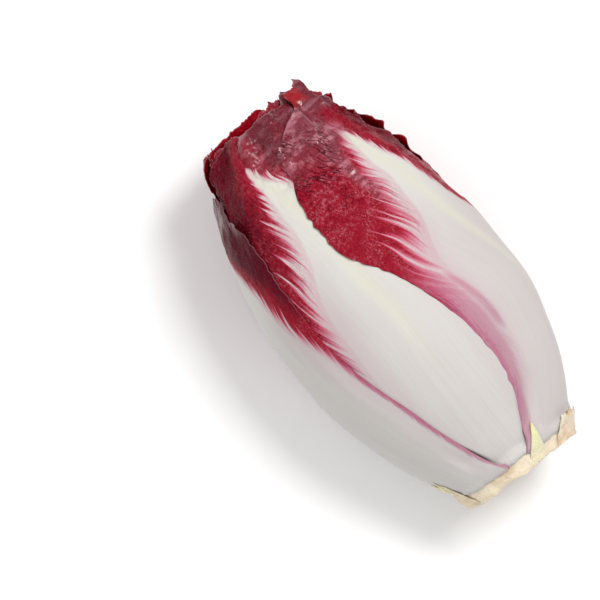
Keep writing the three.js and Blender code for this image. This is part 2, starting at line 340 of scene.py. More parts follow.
# The gap between leaves, a margin's thickness and the least anywhere; how high and over what
# width a margin hugs what is under it; the shares that a squeezed leaf keeps of its thickness,
# that the rib takes of the half-width, and that the foot has of the rib's thickness; and the
# power that sets a leaf's rows closer towards its tip. A radian is in degrees.
GAP = 0.2
MARGIN_THICKNESS = 0.4
LEAST_THICKNESS = 0.12
HUG_HEIGHT = 0.3
HUG_WIDTH = 8
SQUEEZE = 0.55
RIB_SHARE = 0.5
BASE_SHARE = 0.45
ROW_SPACING = 0.85
RADIAN = 57.3

# The numbers at each point that the skin's colours follow, explained in Leaf.skin_data.
LEAF_DATA = (
    "blade", "vein", "along", "round", "rim", "side", "middle", "fade", "reach", "soft",
    "dark", "tint", "plum", "band", "lilac", "cracks", "inside",
)

# Lists of (place, value) that a leaf has where it states none of its own.
PLAIN = ((0, 0), (150, 0))
FADE = (
    (3, 0.25), (12, 0.42), (22, 0.55), (30, 0.62), (45, 0.66), (62, 0.85), (80, 1), (150, 1),
)
REACH = ((35, 0.3), (60, 1.5), (72, 6), (85, 9), (100, 8), (115, 7), (128, 4.5), (140, 2))
SOFT = ((10, 2), (30, 4), (55, 6), (75, 8), (100, 7), (125, 4), (138, 2))
DARK = ((84, 0), (105, 0.3), (126, 0.6))
LEAF_CURVES = (
    "centre", "left", "right", "crest", "foot", "white_left", "white_right",
    "curl_left", "curl_right", "fade", "band", "reach_left", "reach_right",
    "soft_left", "soft_right", "dark_left", "dark_right",
)


@dataclass
class Leaf:
    """What makes one leaf. u runs from -1 at its left edge to 1 at its right. Its shape:

    centre, left, right: (place, angle) lists of the midline and both edges
    crest, foot: (u, place) lists of its ends
    guide, rib, fold_in: radius of its back by place, thickness at the foot, how far the tip
        folds in
    curl_left, curl_right, curl_tip, ruffle, lobe, wrinkle: how far its margins curl, its tip
        waves and is torn, and its blade puckers

    And its colours:

    white_left, white_right: (place, angle) lists of the borders of the white rib
    reach, soft, dark: (place, value) lists for each side, of how far the white veins reach
        out, how soft the red's border is, and how dark the blade is
    streak: how steeply the veins run
    fade, band, lilac: the red's share by place, and the tints low on the left side
    plum, plum_from, painted_sheen, cracks: how much of the crown is plum with a painted sheen,
    the angles it starts between, a painted sheen highlight along the rib's border, and the
    cracks in it, which get painted shade
    folded: the place and angle beyond which the tip shows its inner face
    unlined, tint: how far the pale rim stays off the crown's left, and the rib's shade
    """

    name: str
    centre: tuple
    left: tuple
    right: tuple
    crest: tuple
    foot: tuple
    white_left: tuple
    white_right: tuple
    guide: object
    rib: float = 5.6
    curl_left: tuple = PLAIN
    curl_right: tuple = PLAIN
    curl_tip: float = 0.0
    fold_in: float = 4.0
    ruffle: float = 0.6
    lobe: float = 1.0
    wrinkle: float = 0.25
    streak: float = 1.0
    reach_left: tuple = REACH
    reach_right: tuple = REACH
    soft_left: tuple = SOFT
    soft_right: tuple = SOFT
    painted_sheen: float = 0.0
    cracks: float = 0.0
    folded: tuple = (200, 0)
    unlined: float = 0.0
    tint: float = 0.25
    fade: tuple = FADE
    dark_left: tuple = DARK
    dark_right: tuple = DARK
    plum: float = 0.2
    plum_from: tuple = (-38, -16)
    lilac: float = 0.0
    band: tuple = PLAIN
    seed: int = 1
    columns: int = 130
    rows: int = 200

    def __post_init__(self):
        self.base, self.tip = min(x for _, x in self.foot), max(x for _, x in self.crest)
        for name in LEAF_CURVES:
            setattr(self, name, curve(getattr(self, name)))

    def sided(self, name, left, x):
        """The left or right one of a pair of curves."""
        return np.where(left, getattr(self, name + "_left")(x), getattr(self, name + "_right")(x))

    def top(self, u):
        """Where the leaf ends at u: its crest with ragged lobes and small teeth."""
        lane = 0 * u + self.seed
        rough = 1.5 * noise(u * 4.3 + 9, lane, RAGGED) + 0.8 * noise(u * 11, lane, NICKS)
        return self.crest(u) + self.lobe * rough + 0.3 * noise(u * 46, lane, TEETH)

    def bottom(self, u):
        """Where the leaf's foot is torn off the ring at u."""
        return self.foot(u) + 0.35 * noise(u * 12, 0 * u + self.seed, FOOT_TEETH)

    def half(self, u, x):
        """Half-width in degrees on the side of u, with small teeth on the upper margins."""
        side = np.where(u < 0, self.centre(x) - self.left(x), self.right(x) - self.centre(x))
        lane = np.sign(u) * 3 + self.seed
        wave = 0.7 * noise(x / 6.1, lane, EDGE_WAVES) + 0.4 * noise(x / 1.7, lane, EDGE_TEETH)
        return np.maximum(side + smoothstep(50, 96, x) * wave * RADIAN / barrel(x), 1)

    def angle(self, u, x):
        return self.centre(x) + u * self.half(u, x)

    def across(self, x, angle):
        """The u of an angle, from -1 to 1 on the leaf and beyond off it."""
        off = wrapped(angle - self.centre(x))
        return off / self.half(off, x)

    def unwound(self, x, angle):
        """The angle counted on from the leaf's midline, less than half a turn from it."""
        return wrapped(angle - self.centre(x)) + self.centre(x)

    def side_rim(self, u, x):
        """Distance from the nearer side margin."""
        return (1 - np.abs(u)) * np.radians(self.half(u, x)) * barrel(x)

    def rim(self, u, x):
        """Distance from the nearest free margin."""
        return np.maximum(np.minimum(self.side_rim(u, x), (self.top(u) - x) * 0.9), 0)

    def rib_middle(self, x):
        """Angle of the middle of the white rib."""
        return (self.white_left(x) + self.white_right(x)) / 2

    def blade(self, x, angle):
        """Distance outside the border of the white rib, negative inside it."""
        off = self.unwound(x, angle)
        return arc(np.maximum(self.white_left(x) - off, off - self.white_right(x)), x)

    def lift(self, u, x, angle):
        """How far both faces stand out of the lay-up: the puckers of the blade, the curl of
        the side margins, the curl and the ruffles of the tip, each fading with the distance
        from its margin, less a groove along the middle of the rib."""
        lane, margin = 0 * x + self.seed, np.sign(u) + self.seed
        tip = np.maximum(self.top(u) - x, 0)
        puckers = noise(angle / 6, x / 3.4, PUCKERS + self.seed, around=60)
        puckers += 0.6 * noise(angle / 3 + 7, x / 1.7, FINE_PUCKERS + self.seed, around=120)
        coloured = smoothstep(0, 6, self.blade(x, angle)) * smoothstep(60, 95, x)
        lift = settings().wrinkle * self.wrinkle * coloured * puckers
        frill = 0.75 + 0.8 * noise(x / 6.5, margin, CURLS)
        frill = np.maximum(frill + 0.3 * noise(x / 2.6, margin, FINE_CURLS), 0.1)
        lift += self.sided("curl", u < 0, x) * np.exp(-self.side_rim(u, x) / 2.4) * frill
        curls = np.maximum(0.3 + noise(angle / 9, lane, TIP_CURLS, around=40), 0)
        lift += self.curl_tip * np.exp(-tip / 3.5) * curls
        waves = noise(angle / 12, lane + x / 30, RUFFLES, around=30)
        waves += 0.5 * noise(angle / 5, lane, FINE_RUFFLES, around=72)
        lift += settings().frill * self.ruffle * np.exp(-tip / 9) * np.maximum(waves + 0.4, 0)
        off = arc(self.unwound(x, angle) - self.rib_middle(x), x)
        return lift - 0.16 * bell(off, 0, 2.2) * smoothstep(20, 60, x) * fall(95, 118, x)

    def radii(self, under, u, x, angle):
        """Inner and outer radius. The back follows the guide and folds in over the last
        millimetres before the crest; where there's no room for the whole thickness the leaf
        lies squeezed on what is under it. The side margins hug what is under them, the rim is
        rounded, the foot thins out, and last both faces are lifted."""
        t = np.clip((x - self.base) / (self.tip - self.base), 0, 1)
        start = BASE_SHARE + (1 - BASE_SHARE) * smoothstep(0, 22, x - self.base)
        rib = MARGIN_THICKNESS + (start * self.rib - MARGIN_THICKNESS) * (1 - t) ** 1.1
        thickness = MARGIN_THICKNESS + (rib - MARGIN_THICKNESS) * bell(u, 0, RIB_SHARE)
        tip = np.maximum(self.top(u) - x, 0)
        turn = 1 + 0.7 * noise(angle / 17, 0 * x + self.seed, FOLD_BEND, around=21)
        guide = self.guide(x) - self.fold_in * np.exp(-tip / 5) * turn
        floor = under(x, angle) + GAP
        inner = np.maximum(floor, guide - thickness)
        outer = np.maximum(guide, inner + SQUEEZE * thickness)
        hug = smoothstep(0, HUG_WIDTH, self.side_rim(u, x))
        lowest = np.maximum(floor, guide - 0.8 - 0.4 * tip)
        outer = lowest + HUG_HEIGHT + (outer - lowest - HUG_HEIGHT) * hug
        inner = np.maximum(lowest, inner + (lowest - inner) * (1 - hug))
        inner = np.minimum(inner, outer - LEAST_THICKNESS)
        rounded = MARGIN_THICKNESS * 0.5 * fall(0, 1.2, self.rim(u, x))
        settle = np.exp(-np.maximum(x - self.bottom(u), 0) / 1.5)
        outer = outer - settle * np.minimum(0.85 * thickness, outer - inner - 0.15)
        lift = self.lift(u, x, angle)
        return inner + lift, np.maximum(outer + lift - rounded, inner + lift + LEAST_THICKNESS)

    def skin_data(self, u, x, angle):
        """What the skin's colours follow, a number at each point. Distances are millimetres:

        blade: distance outside the white rib's border; rim: from the nearest free margin
        along, round, middle: place along the head, round it, and round from the rib's middle
        vein: constant along a vein, which leaves the rib steeply and then runs straight
        side: a lane of its own for each side of each leaf
        reach, soft, fade, dark, tint: the leaf's own curves and numbers
        plum: the crown's plum and its painted sheen; cracks: its cracks, which get painted shade;
        inside: 1 where the inner face shows
        band: a strip along the left margin; lilac: one along the rib's border, low down
        """
        blade = self.blade(x, angle)
        bent = np.maximum(blade + 4, 0)
        off, middle = self.unwound(x, angle), self.rib_middle(x)
        left = off < middle
        crown = smoothstep(108, 123, x) * smoothstep(*self.plum_from, off)
        crown = crown * np.maximum(fall(36, 58, off), smoothstep(126, 131, x))
        # A painted sheen: a highlight along the rib's border on the left, where a convex fold
        # catches the light.
        painted_sheen = self.painted_sheen * left * bell(blade, 8, 2.6) * smoothstep(88, 98, x)
        strip = fall(1.4, 5.4, self.side_rim(u, x)) * fall(60, 72, x)
        border = bell(blade, 2.4, 2.2) * smoothstep(34, 46, x) * fall(60, 70, x)
        place, turn = self.folded
        return {
            "blade": blade,
            "vein": x - self.streak * (0.8 * bent + 6.6 * (1 - np.exp(-bent / 3))),
            "along": x,
            "round": arc(off, x),
            "rim": self.rim(u, x) + self.unlined * smoothstep(108, 114, x) * (u < 0),
            "side": np.where(left, -1.0, 1.0) * (10 + 3.7 * self.seed),
            "middle": arc(off - middle, x),
            "fade": self.fade(x),
            "reach": self.sided("reach", left, x),
            "soft": self.sided("soft", left, x),
            "dark": self.sided("dark", left, x),
            "tint": 0 * x + self.tint,
            "plum": self.plum * crown + painted_sheen,
            "band": self.band(x) * left * strip,
            "lilac": self.lilac * left * border,
            "cracks": self.cracks * left * smoothstep(104, 112, x) * fall(126, 131, x),
            "inside": smoothstep(place - 1.5, place + 1.5, x) * fall(turn - 3, turn + 3, off),
        }


def shell(name, grids):
    """A closed shell between an inner and an outer grid of points of one shape, with walls
    round the rim. Each grid also brings its attributes, as a dict of arrays."""
    (inner, inner_data), (outer, outer_data) = grids
    rows, cols = inner.shape[:2]
    points = np.concatenate([inner.reshape(-1, 3), outer.reshape(-1, 3)])
    index = np.arange(rows * cols).reshape(rows, cols)
    far = index + rows * cols

    def quads(a, b, c, d):
        return np.stack([a.ravel(), b.ravel(), c.ravel(), d.ravel()], axis=1)

    faces = np.concatenate([
        quads(index[:-1, :-1], index[1:, :-1], index[1:, 1:], index[:-1, 1:]),
        quads(far[:-1, :-1], far[:-1, 1:], far[1:, 1:], far[1:, :-1]),
        quads(index[0, :-1], index[0, 1:], far[0, 1:], far[0, :-1]),
        quads(index[-1, 1:], index[-1, :-1], far[-1, :-1], far[-1, 1:]),
        quads(index[1:, 0], index[:-1, 0], far[:-1, 0], far[1:, 0]),
        quads(index[:-1, -1], index[1:, -1], far[1:, -1], far[:-1, -1]),
    ])
    data = {
        key: np.concatenate([inner_data[key].ravel(), outer_data[key].ravel()])
        for key in inner_data
    }
    return mesh_piece(name, points, faces, data)


def mesh_piece(name, points, faces, data):
    """A smooth-shaded object from an array of points, an array of four-cornered faces and one
    number per point for each named attribute."""
    mesh = bpy.data.meshes.new(name)
    mesh.vertices.add(len(points))
    mesh.vertices.foreach_set("co", points.astype(np.float32).ravel())
    mesh.loops.add(faces.size)
    mesh.loops.foreach_set("vertex_index", faces.astype(np.int32).ravel())
    mesh.polygons.add(len(faces))
    mesh.polygons.foreach_set("loop_start", np.arange(0, faces.size, 4, dtype=np.int32))
    mesh.update(calc_edges=True)
    mesh.polygons.foreach_set("use_smooth", np.ones(len(faces), dtype=bool))
    for key, values in data.items():
        layer = mesh.attributes.new(key, "FLOAT", "POINT")
        layer.data.foreach_set("value", values.astype(np.float32))
    mesh.validate()
    piece = bpy.data.objects.new(name, mesh)
    bpy.context.scene.collection.objects.link(piece)
    return piece


# The five leaves that show all round, outermost first.
OUTER_LEAVES = [
    dict(
        name="leaf_01", inset=0.2, seed=1,
        centre=[(4, -84), (70, -92), (128, -88)],
        left=[(4, -150), (60, -146), (110, -140), (128, -112)],
        right=[
            (4.2, -8), (5.9, -8.6), (6.8, -12.4), (9.5, -16.8), (12.6, -20.1), (19.1, -23.7),
            (26.1, -26.5), (36.9, -29.7), (47, -33.7), (58.3, -37.8), (70, -41.5), (80, -42.7),
            (91, -43.6), (98, -44.6), (112, -45.4), (118, -47), (124, -51), (130, -57),
        ],
        crest=[
            (-1, 117), (-0.5, 122), (0, 126.5), (0.3, 128), (0.5, 127.5), (0.6, 125), (0.68, 119.5),
            (0.8, 118.2), (0.92, 116), (1, 112.5),
        ],
        foot=[(-1, 12), (-0.3, 12), (0, 10.5), (0.25, 6), (0.5, 4.3), (1, 4)],
        curl_left=[(0, 0), (90, 0), (112, 0.6), (128, 0.6)],
        curl_right=[(0, 0), (96, 0), (108, 0.5), (116, 2.0), (128, 2.2)],
        curl_tip=0.7, fold_in=2.6, wrinkle=0.12,
        white_left=[(4, -150), (50, -140), (80, -122), (100, -108), (112, -96), (130, -90)],
        white_right=[
            (4, -12), (6.8, -16), (12.6, -24.5), (20, -28), (30, -31.4), (40, -34), (50, -38),
            (58.8, -42), (67.4, -47), (75.6, -53), (82.4, -58.5), (88, -62), (93.5, -65),
            (99.6, -71), (106.9, -84), (112, -97), (130, -104),
        ],
        streak=2.1,
        reach_left=[(35, 0.3), (60, 1.5), (72, 5), (95, 6), (108, 3), (116, 1), (128, 0.5)],
        reach_right=[(55, 0.4), (62, 1.5), (70, 2.2), (80, 4), (95, 4.5), (112, 3)],
        soft_left=[(10, 2), (60, 6), (95, 6), (105, 4), (115, 2), (128, 1.2)],
        soft_right=[(10, 1.2), (50, 1.6), (60, 2.4), (70, 3.4), (80, 3.8), (90, 3.2), (112, 3)],
        dark_left=[(60, 0), (76, 0.35), (90, 0.8), (105, 0.9), (118, 0.4)],
        dark_right=[(60, 0), (76, 0.35), (90, 0.8), (110, 1.0)],
        tint=0.2, plum=0.75, plum_from=(-98, -80),
    ),
    dict(
        name="leaf_02", inset=0.5, seed=2, columns=150, rows=260,
        centre=[
            (4, 68), (60, 64), (90, 46), (118, 40), (126, 45), (132, 50), (137, 51), (142, 56),
            (144, 58),
        ],
        left=[
            (4, 8), (8, 15), (10.7, 17), (14.6, 21), (19.2, 23.6), (26, 24.4), (34, 24.2),
            (41.2, 22.6), (49.8, 19.6), (57.9, 16.6), (65, 12.8), (71.4, 8.4), (77.6, 3.7),
            (82.9, -1.7), (87.6, -5), (91.9, -7), (98.4, -8.7), (103.3, -10), (106.5, -9.5),
            (110, -8), (113, -7), (119.7, -5), (124.6, -2), (127.5, 5), (131, 17), (133.5, 29),
            (135.5, 37), (137.5, 38), (140, 35), (143, 33),
        ],
        right=[
            (4, 122), (55, 110), (70, 98), (80, 84), (86, 76.5), (92, 72), (98, 71), (104, 72),
            (110, 73), (117, 73), (122, 71), (127, 67), (132, 70), (137, 73), (142, 82), (144, 84),
        ],
        crest=[
            (-1, 138.6), (-0.8, 139.2), (-0.6, 139.4), (-0.3, 140), (0, 140.7), (0.14, 141.6),
            (0.25, 142.6), (0.275, 142), (0.29, 139.6), (0.31, 136.4), (0.35, 134.4), (0.4, 133.4),
            (0.47, 132.9), (0.6, 132), (0.75, 130), (0.87, 126.6), (1, 121.5),
        ],
        foot=[(-1, 4.2), (-0.5, 3.6), (0, 4.4), (0.5, 4), (1, 5)],
        curl_left=[
            (0, -1.0), (16, -1.0), (40, -0.5), (70, -0.2), (90, 0.2), (106, 0), (114, -0.6),
            (120, 0), (126, 1.0), (132, 1.2), (139, 0.9),
        ],
        curl_right=[
            (0, 0), (84, 0), (94, 0.3), (103, 1.3), (112, 1.2), (117, 1.9), (122, 0.8), (126, 0.1),
            (139, 0.3),
        ],
        curl_tip=0.2, fold_in=1.2, ruffle=0.3, lobe=0.35, wrinkle=0.4,
        white_left=[
            (4, 12), (8, 20), (14.6, 34), (19, 39), (26, 42), (34, 42), (41, 40.5), (48.4, 38.5),
            (58.2, 34), (63.2, 31), (69.3, 30), (74.5, 31.7), (83.4, 36.8), (93.4, 38.6),
            (98.4, 39.6), (105.8, 37.3), (113.5, 38), (117.4, 41), (119.5, 44), (123, 46.5),
            (128, 47), (132, 40), (135, 30), (138, 20), (143, 8),
        ],
        white_right=[
            (4, 122), (55, 110), (66, 96), (75, 78), (82.3, 66), (86.4, 62.4), (90, 60.2),
            (95.2, 57.6), (100.6, 54.6), (105.1, 49.4), (109.6, 45), (114.7, 42.4), (117.9, 40.4),
            (120, 38.6), (123, 37), (128, 36), (132, 28), (135, 18), (138, 8), (143, -4),
        ],
        streak=1.6,
        reach_left=[
            (50, 0.3), (60, 2), (65.6, 4), (74, 7.5), (83.5, 9.2), (92, 8.8), (100, 7), (107, 4),
            (113, 2), (118, 1.2), (124, 0.8), (130, 0.5),
        ],
        reach_right=[(80, 1), (90, 1.8), (100, 2.6), (112, 2.4), (120, 1.5)],
        soft_left=[
            (10, 5), (20, 7), (30, 8), (45, 8.5), (55, 9), (68, 9.5), (78, 11), (90, 9.5), (100, 8),
            (108, 5), (118, 4), (135, 3),
        ],
        soft_right=[(60, 1.2), (85, 1.2), (100, 2), (120, 2)],
        dark_left=[(100, 0), (126, 0.3)],
        dark_right=[(80, 0.2), (90, 0.6), (100, 0.68), (126, 0.6)],
        fade=[
            (3, 0.15), (20, 0.28), (30, 0.36), (45, 0.4), (54, 0.45), (62, 0.7), (74, 0.95),
            (84, 1), (150, 1),
        ],
        band=[
            (3, 0.22), (12, 0.36), (25, 0.48), (35, 0.56), (45, 0.6), (55, 0.72), (64, 0.85),
            (72, 0.95),
        ],
        lilac=0.3, tint=0.6, plum=0.75, painted_sheen=0.75, cracks=1.0, folded=(134.5, 52), unlined=3,
    ),
    dict(
        name="leaf_03", inset=0.9, seed=3,
        centre=[(4, 198), (70, 194), (137, 178)],
        left=[
            (4, 140), (60, 138), (78, 118), (88, 96), (96, 88), (104, 86), (114, 84), (124, 86),
            (130, 100), (137, 130),
        ],
        right=[(4, 262), (60, 250), (105, 246), (118, 255), (126, 264), (132, 276), (139, 286)],
        crest=[
            (-1, 121.5), (-0.88, 124), (-0.74, 130), (-0.6, 136), (-0.3, 142.5), (-0.15, 144),
            (0, 143.6), (0.2, 144), (0.4, 142.6), (0.6, 141.5), (0.8, 140.5), (1, 139),
        ],
        foot=[(-1, 6), (0, 3.8), (1, 6)],
        curl_left=[
            (0, 0), (86, -0.6), (91, -0.5), (94, -0.9), (96.5, -0.4), (99, 0.5), (102, 0.1),
            (104, 0.8), (107, 2.6), (110.6, 0.3), (112.6, 1.0), (115.6, 3.5), (118.4, 2.8),
            (121.5, 0.4), (125, 0), (132, 0),
        ],
        curl_right=[(0, 0), (108, 0), (122, 0.3), (137, 0.5)],
        curl_tip=1.2, fold_in=2.0, ruffle=1.0, lobe=0.5,
        white_left=[(4, 140), (40, 150), (70, 170), (100, 176), (120, 182), (137, 192)],
        white_right=[(4, 262), (40, 242), (70, 218), (100, 198), (120, 178), (137, 168)],
        dark_left=[(84, 0), (126, 0.3)],
    ),
    dict(
        name="leaf_04", inset=1.4, seed=4, columns=150, rows=260,
        centre=[(6, 2), (75, -1), (108, -11), (126, -19), (141, -25)],
        left=[(6, -30), (40, -52), (90, -66), (120, -78), (141, -80)],
        right=[(6, 30), (40, 44), (90, 38), (120, 38), (132, 48), (141, 58)],
        crest=[
            (-1, 133.5), (-0.7, 137), (-0.45, 139), (-0.1, 139.4), (0.08, 137.8), (0.22, 137.6),
            (0.36, 138.4), (0.52, 138.2), (0.62, 137.6), (0.74, 138.8), (0.86, 141), (0.9, 141.3),
            (0.94, 139.8), (0.97, 137.8), (1, 135.5),
        ],
        foot=[(-1, 5.5), (0, 4.3), (1, 5.5)],
        curl_tip=0.6, fold_in=1.2, lobe=0.3, wrinkle=0.3,
        white_left=[
            (4, -34), (42, -33), (60, -31), (74.7, -30), (82.6, -27.2), (92.9, -21), (101.6, -19),
            (107.9, -20.2), (117.6, -22.4), (122.7, -24.8), (125, -26), (127.4, -26.4),
            (129.4, -23), (133.4, -19), (138, -17),
        ],
        white_right=[
            (4, 30), (64, 25), (76, 19), (89, 12), (104, 0), (113, -7.6), (116.4, -10),
            (118.6, -14), (121, -19.4), (124.2, -24.2), (127.4, -26.4), (129.4, -31), (133.4, -35),
            (138, -42),
        ],
        streak=1.8,
        reach_left=[
            (60, 5), (78, 6.5), (86, 8), (94, 9.5), (102, 6), (110, 5.5), (117, 2.6), (126, 1),
            (130, 0.4),
        ],
        reach_right=[(110, 1), (116, 3.4), (123, 4.5), (128, 1.2), (138, 0.4)],
        soft_left=[
            (60, 6), (70, 7), (80, 7), (86, 8), (94, 7), (102, 7), (110, 5), (117, 2), (126, 1.2),
            (138, 0.8),
        ],
        soft_right=[(100, 1.5), (120, 2.4), (127, 1.2), (138, 0.8)],
        dark_left=[(80, 0), (95, 0.3), (106, 0.5), (118, 0.75), (135, 0.7)],
        plum=0.55,
    ),
    dict(
        name="leaf_05", inset=1.9, seed=5,
        centre=[(7, 134), (70, 124), (139, 110)],
        left=[(7, 96), (50, 72), (110, 58), (139, 74)],
        right=[(7, 170), (50, 178), (110, 170), (139, 152)],
        crest=[(-1, 130), (-0.6, 136), (0, 140), (0.6, 138), (1, 132)],
        foot=[(-1, 6), (0, 5.2), (1, 6)],
        curl_tip=1.4, fold_in=2.0, ruffle=1.0, lobe=1.2,
        white_left=[(4, 96), (40, 104), (70, 108), (100, 106), (120, 112), (139, 122)],
        white_right=[(4, 170), (40, 160), (70, 146), (100, 124), (120, 108), (139, 98)],
    ),
]


def outer_leaf(spec):
    """A leaf of the outer five, whose back follows the barrel less its inset."""
    spec = dict(spec)
    inset = spec.pop("inset")
    return Leaf(guide=lambda x: barrel(x) - inset, **spec)


def inner_name(i):
    return "leaf_%02d" % (len(OUTER_LEAVES) + 1 + i)


def inner_leaf(i):
    """The i-th leaf under the outer five: turned by the golden angle, it leaves the stem at
    its base and reaches its own share of the barrel a little further up."""
    share = 0.885 - 0.042 * i
    base, tip = 8 + 1.9 * i, 141 - 0.8 * i
    middle = 124 + GOLDEN_ANGLE * (i + 1)
    lean = middle - 14
    half = 55 + 2 * i
    start = float(core_radius(np.array(base))) + 3

    def guide(x):
        return start + (share * barrel(x) - start) * smoothstep(base, base + 22, x)

    def edge(side):
        """The margin on one side, and the rib's border, which crosses over near the tip."""
        margin = [
            (base, middle + side * 0.6 * half), (60, middle + side * half),
            (110, lean + side * half), (tip, lean + side * 0.8 * half),
        ]
        border = [
            (base, middle + side * 0.6 * half), (60, middle + side * 26),
            (95, lean + side * 7), (116, lean - side * 3), (130, lean - side * 16),
        ]
        return margin, border

    (left, white_left), (right, white_right) = edge(-1), edge(1)
    curl = [(0, 0), (118, 0), (134, 0.8)]
    dark = [(84, 0), (126, 0.2)]
    return Leaf(
        name=inner_name(i), seed=6 + i, columns=84, rows=92,
        guide=guide, rib=5.6 - 0.2 * i,
        centre=[(0, middle), (HEAD_LENGTH, lean)], left=left, right=right,
        crest=[(-1, tip - 7), (-0.6, tip - 1.5), (0, tip), (0.6, tip - 1.5), (1, tip - 7)],
        foot=[(-1, base + 3), (0, base), (1, base + 3)],
        curl_left=curl, curl_right=curl, curl_tip=1.0, fold_in=1.0, ruffle=2.0, lobe=0.7,
        white_left=white_left, white_right=white_right, dark_left=dark, dark_right=dark,
    )


@remembered
def laid_leaves():
    """Every leaf's inner and outer grid of points with their attributes, by name, laid up from
    the heart outwards, and under "outside" the lookup of the finished head's radius."""
    layup = LayUp()
    laid = {}
    leaves = [outer_leaf(spec) for spec in OUTER_LEAVES]
    leaves += [inner_leaf(i) for i in range(INNER_LEAVES)]
    for leaf in reversed(leaves):
        under = layup.eased()
        across = np.linspace(-1, 1, leaf.columns + 1)
        up = np.linspace(0, 1, leaf.rows + 1) ** ROW_SPACING
        u, v = np.meshgrid(across, up)
        x = leaf.bottom(u) + v * (leaf.top(u) - leaf.bottom(u))
        angle = leaf.angle(u, x)
        inner, outer = leaf.radii(under, u, x, angle)
        data = leaf.skin_data(u, x, angle)
        laid[leaf.name] = (
            (place_in_frame(x, angle, inner), {**data, "inside": np.ones_like(x)}),
            (place_in_frame(x, angle, outer), data),
        )
        u = leaf.across(layup.x, layup.angle)
        held = np.clip(u, -1, 1)
        on = (np.abs(u) <= 1) & (layup.x > leaf.bottom(held)) & (layup.x < leaf.top(held))
        angle = leaf.centre(layup.x) + u * leaf.half(u, layup.x)
        layup.cover(np.where(on, leaf.radii(under, held, layup.x, angle)[1], 0))
    laid["outside"] = layup.eased(0, 1)
    return laid


# ---- Stem, heart and stubs ----

# The stem's outline from the middle of the cut face to the top of the cone: how far along the
# outline, place, radius.
STEM = [
    (0, 1.2, 0), (0.2, 0.9, 9), (0.36, 0.2, 17), (0.42, -0.2, 18.9), (0.47, 0.2, 19.9),
    (0.52, 1.2, 20.6), (0.6, 3.2, 21.3), (0.66, 4.9, 21.75), (0.68, 5.3, 21.2),
    (0.72, 5.6, 18.6), (0.8, 8, 15.4), (1, 50, 0),
]
FACE_EDGE = 0.36


def stem_grid(rows=150, columns=400):
    """The stem as its outline turned round the axis, from the middle of the cut face, over the
    torn ring, to the top of the cone. Noise round the ring and over the cut face makes the
    break uneven."""
    turn, s = round_grid(rows, columns)
    x, r = (curve([(point[0], point[k]) for point in STEM])(s) for k in (1, 2))
    ring = bell(s, 0.5, 0.1)
    rough = noise(turn / 10, s * 9, STEM_ROUGH, around=36)
    rough += 0.5 * noise(turn / 3, s * 26, STEM_GRAIN, around=120)
    edge = 0.9 * noise(turn / 24, 0 * s, STEM_EDGE, around=15)
    edge += 0.45 * noise(turn / 6, 0 * s, STEM_TEETH, around=60)
    x = x + ring * edge + 0.5 * smoothstep(0.02, 0.1, s) * fall(FACE_EDGE, 0.5, s) * rough
    r = r + 0.35 * ring * rough
    face = fall(FACE_EDGE, 0.48, s)
    data = {"along": x, "turn": wrapped(turn), "edge": 1 + 0 * s, "face": face}
    return place_in_frame(x, turn, np.maximum(r, 0)), data


def round_grid(rows, columns):
    """Angles all the way round and a share from 0 to 1, as a grid of rows and columns."""
    return np.meshgrid(np.linspace(0, 360, columns + 1)[:-1], np.linspace(0, 1, rows + 1))


def turned(name, points, data):
    """A closed surface from a grid whose first and last rows are poles and whose columns go
    all the way round."""
    rows, cols = points.shape[:2]
    index = np.arange(rows * cols).reshape(rows, cols)
    beyond = np.roll(index, -1, axis=1)
    faces = np.stack([index[:-1], index[1:], beyond[1:], beyond[:-1]], axis=-1).reshape(-1, 4)
    data = {key: values.ravel() for key, values in data.items()}
    piece = mesh_piece(name, points.reshape(-1, 3), faces, data)
    weld_poles(piece)
    return piece


def weld_poles(piece):
    """Merges the points that lie on each other at the poles."""
    mesh = bmesh.new()
    mesh.from_mesh(piece.data)
    bmesh.ops.remove_doubles(mesh, verts=mesh.verts, dist=1e-7)
    bmesh.ops.recalc_face_normals(mesh, faces=mesh.faces)
    mesh.to_mesh(piece.data)
    mesh.free()


def heart_grid(rows=60, columns=72):
    """The heart as its profile turned round the axis, pleated by a wave of five lobes that
    twists with x."""
    turn, s = round_grid(rows, columns)
    x = HEART[0][0] + s * (HEART[-1][0] - HEART[0][0])
    pleat = 1 - 0.12 * np.abs(np.sin(np.radians(2.5 * turn + 4 * x)))
    data = {name: 0 * x for name in LEAF_DATA}
    data.update(blade=(x - 62) / 3, vein=x, along=x, round=turn / 12, middle=turn / 12)
    data.update(rim=0 * x + 3, side=0 * x + 5, fade=0 * x + 1, soft=0 * x + 4)
    return place_in_frame(x, turn, heart_radius(x) * pleat), data


# Torn remains of older leaves: foot and tip as (place, angle), half-widths in degrees at foot
# and tip, thickness, how far the tip stands off, and the power that the sides narrow by.
STUBS = {
    "leaf_stub_1": dict(
        foot=(0.0, 15.5), tip=(11.2, 24.5), halves=(9.5, 0.6), thickness=0.9, stand=0.3, blunt=1.1,
    ),
    "leaf_stub_2": dict(
        foot=(0.4, -74), tip=(12.5, -78), halves=(22, 13), thickness=0.7, stand=0.1, blunt=0.4,
    ),
    "leaf_stub_3": dict(
        foot=(-0.4, 62), tip=(6.6, 68), halves=(27, 20), thickness=1.1, stand=0.5, blunt=0.3,
    ),
    "leaf_stub_4": dict(
        foot=(0.4, 187), tip=(6.5, 190), halves=(22, 14), thickness=0.8, stand=0.5, blunt=0.4,
    ),
}


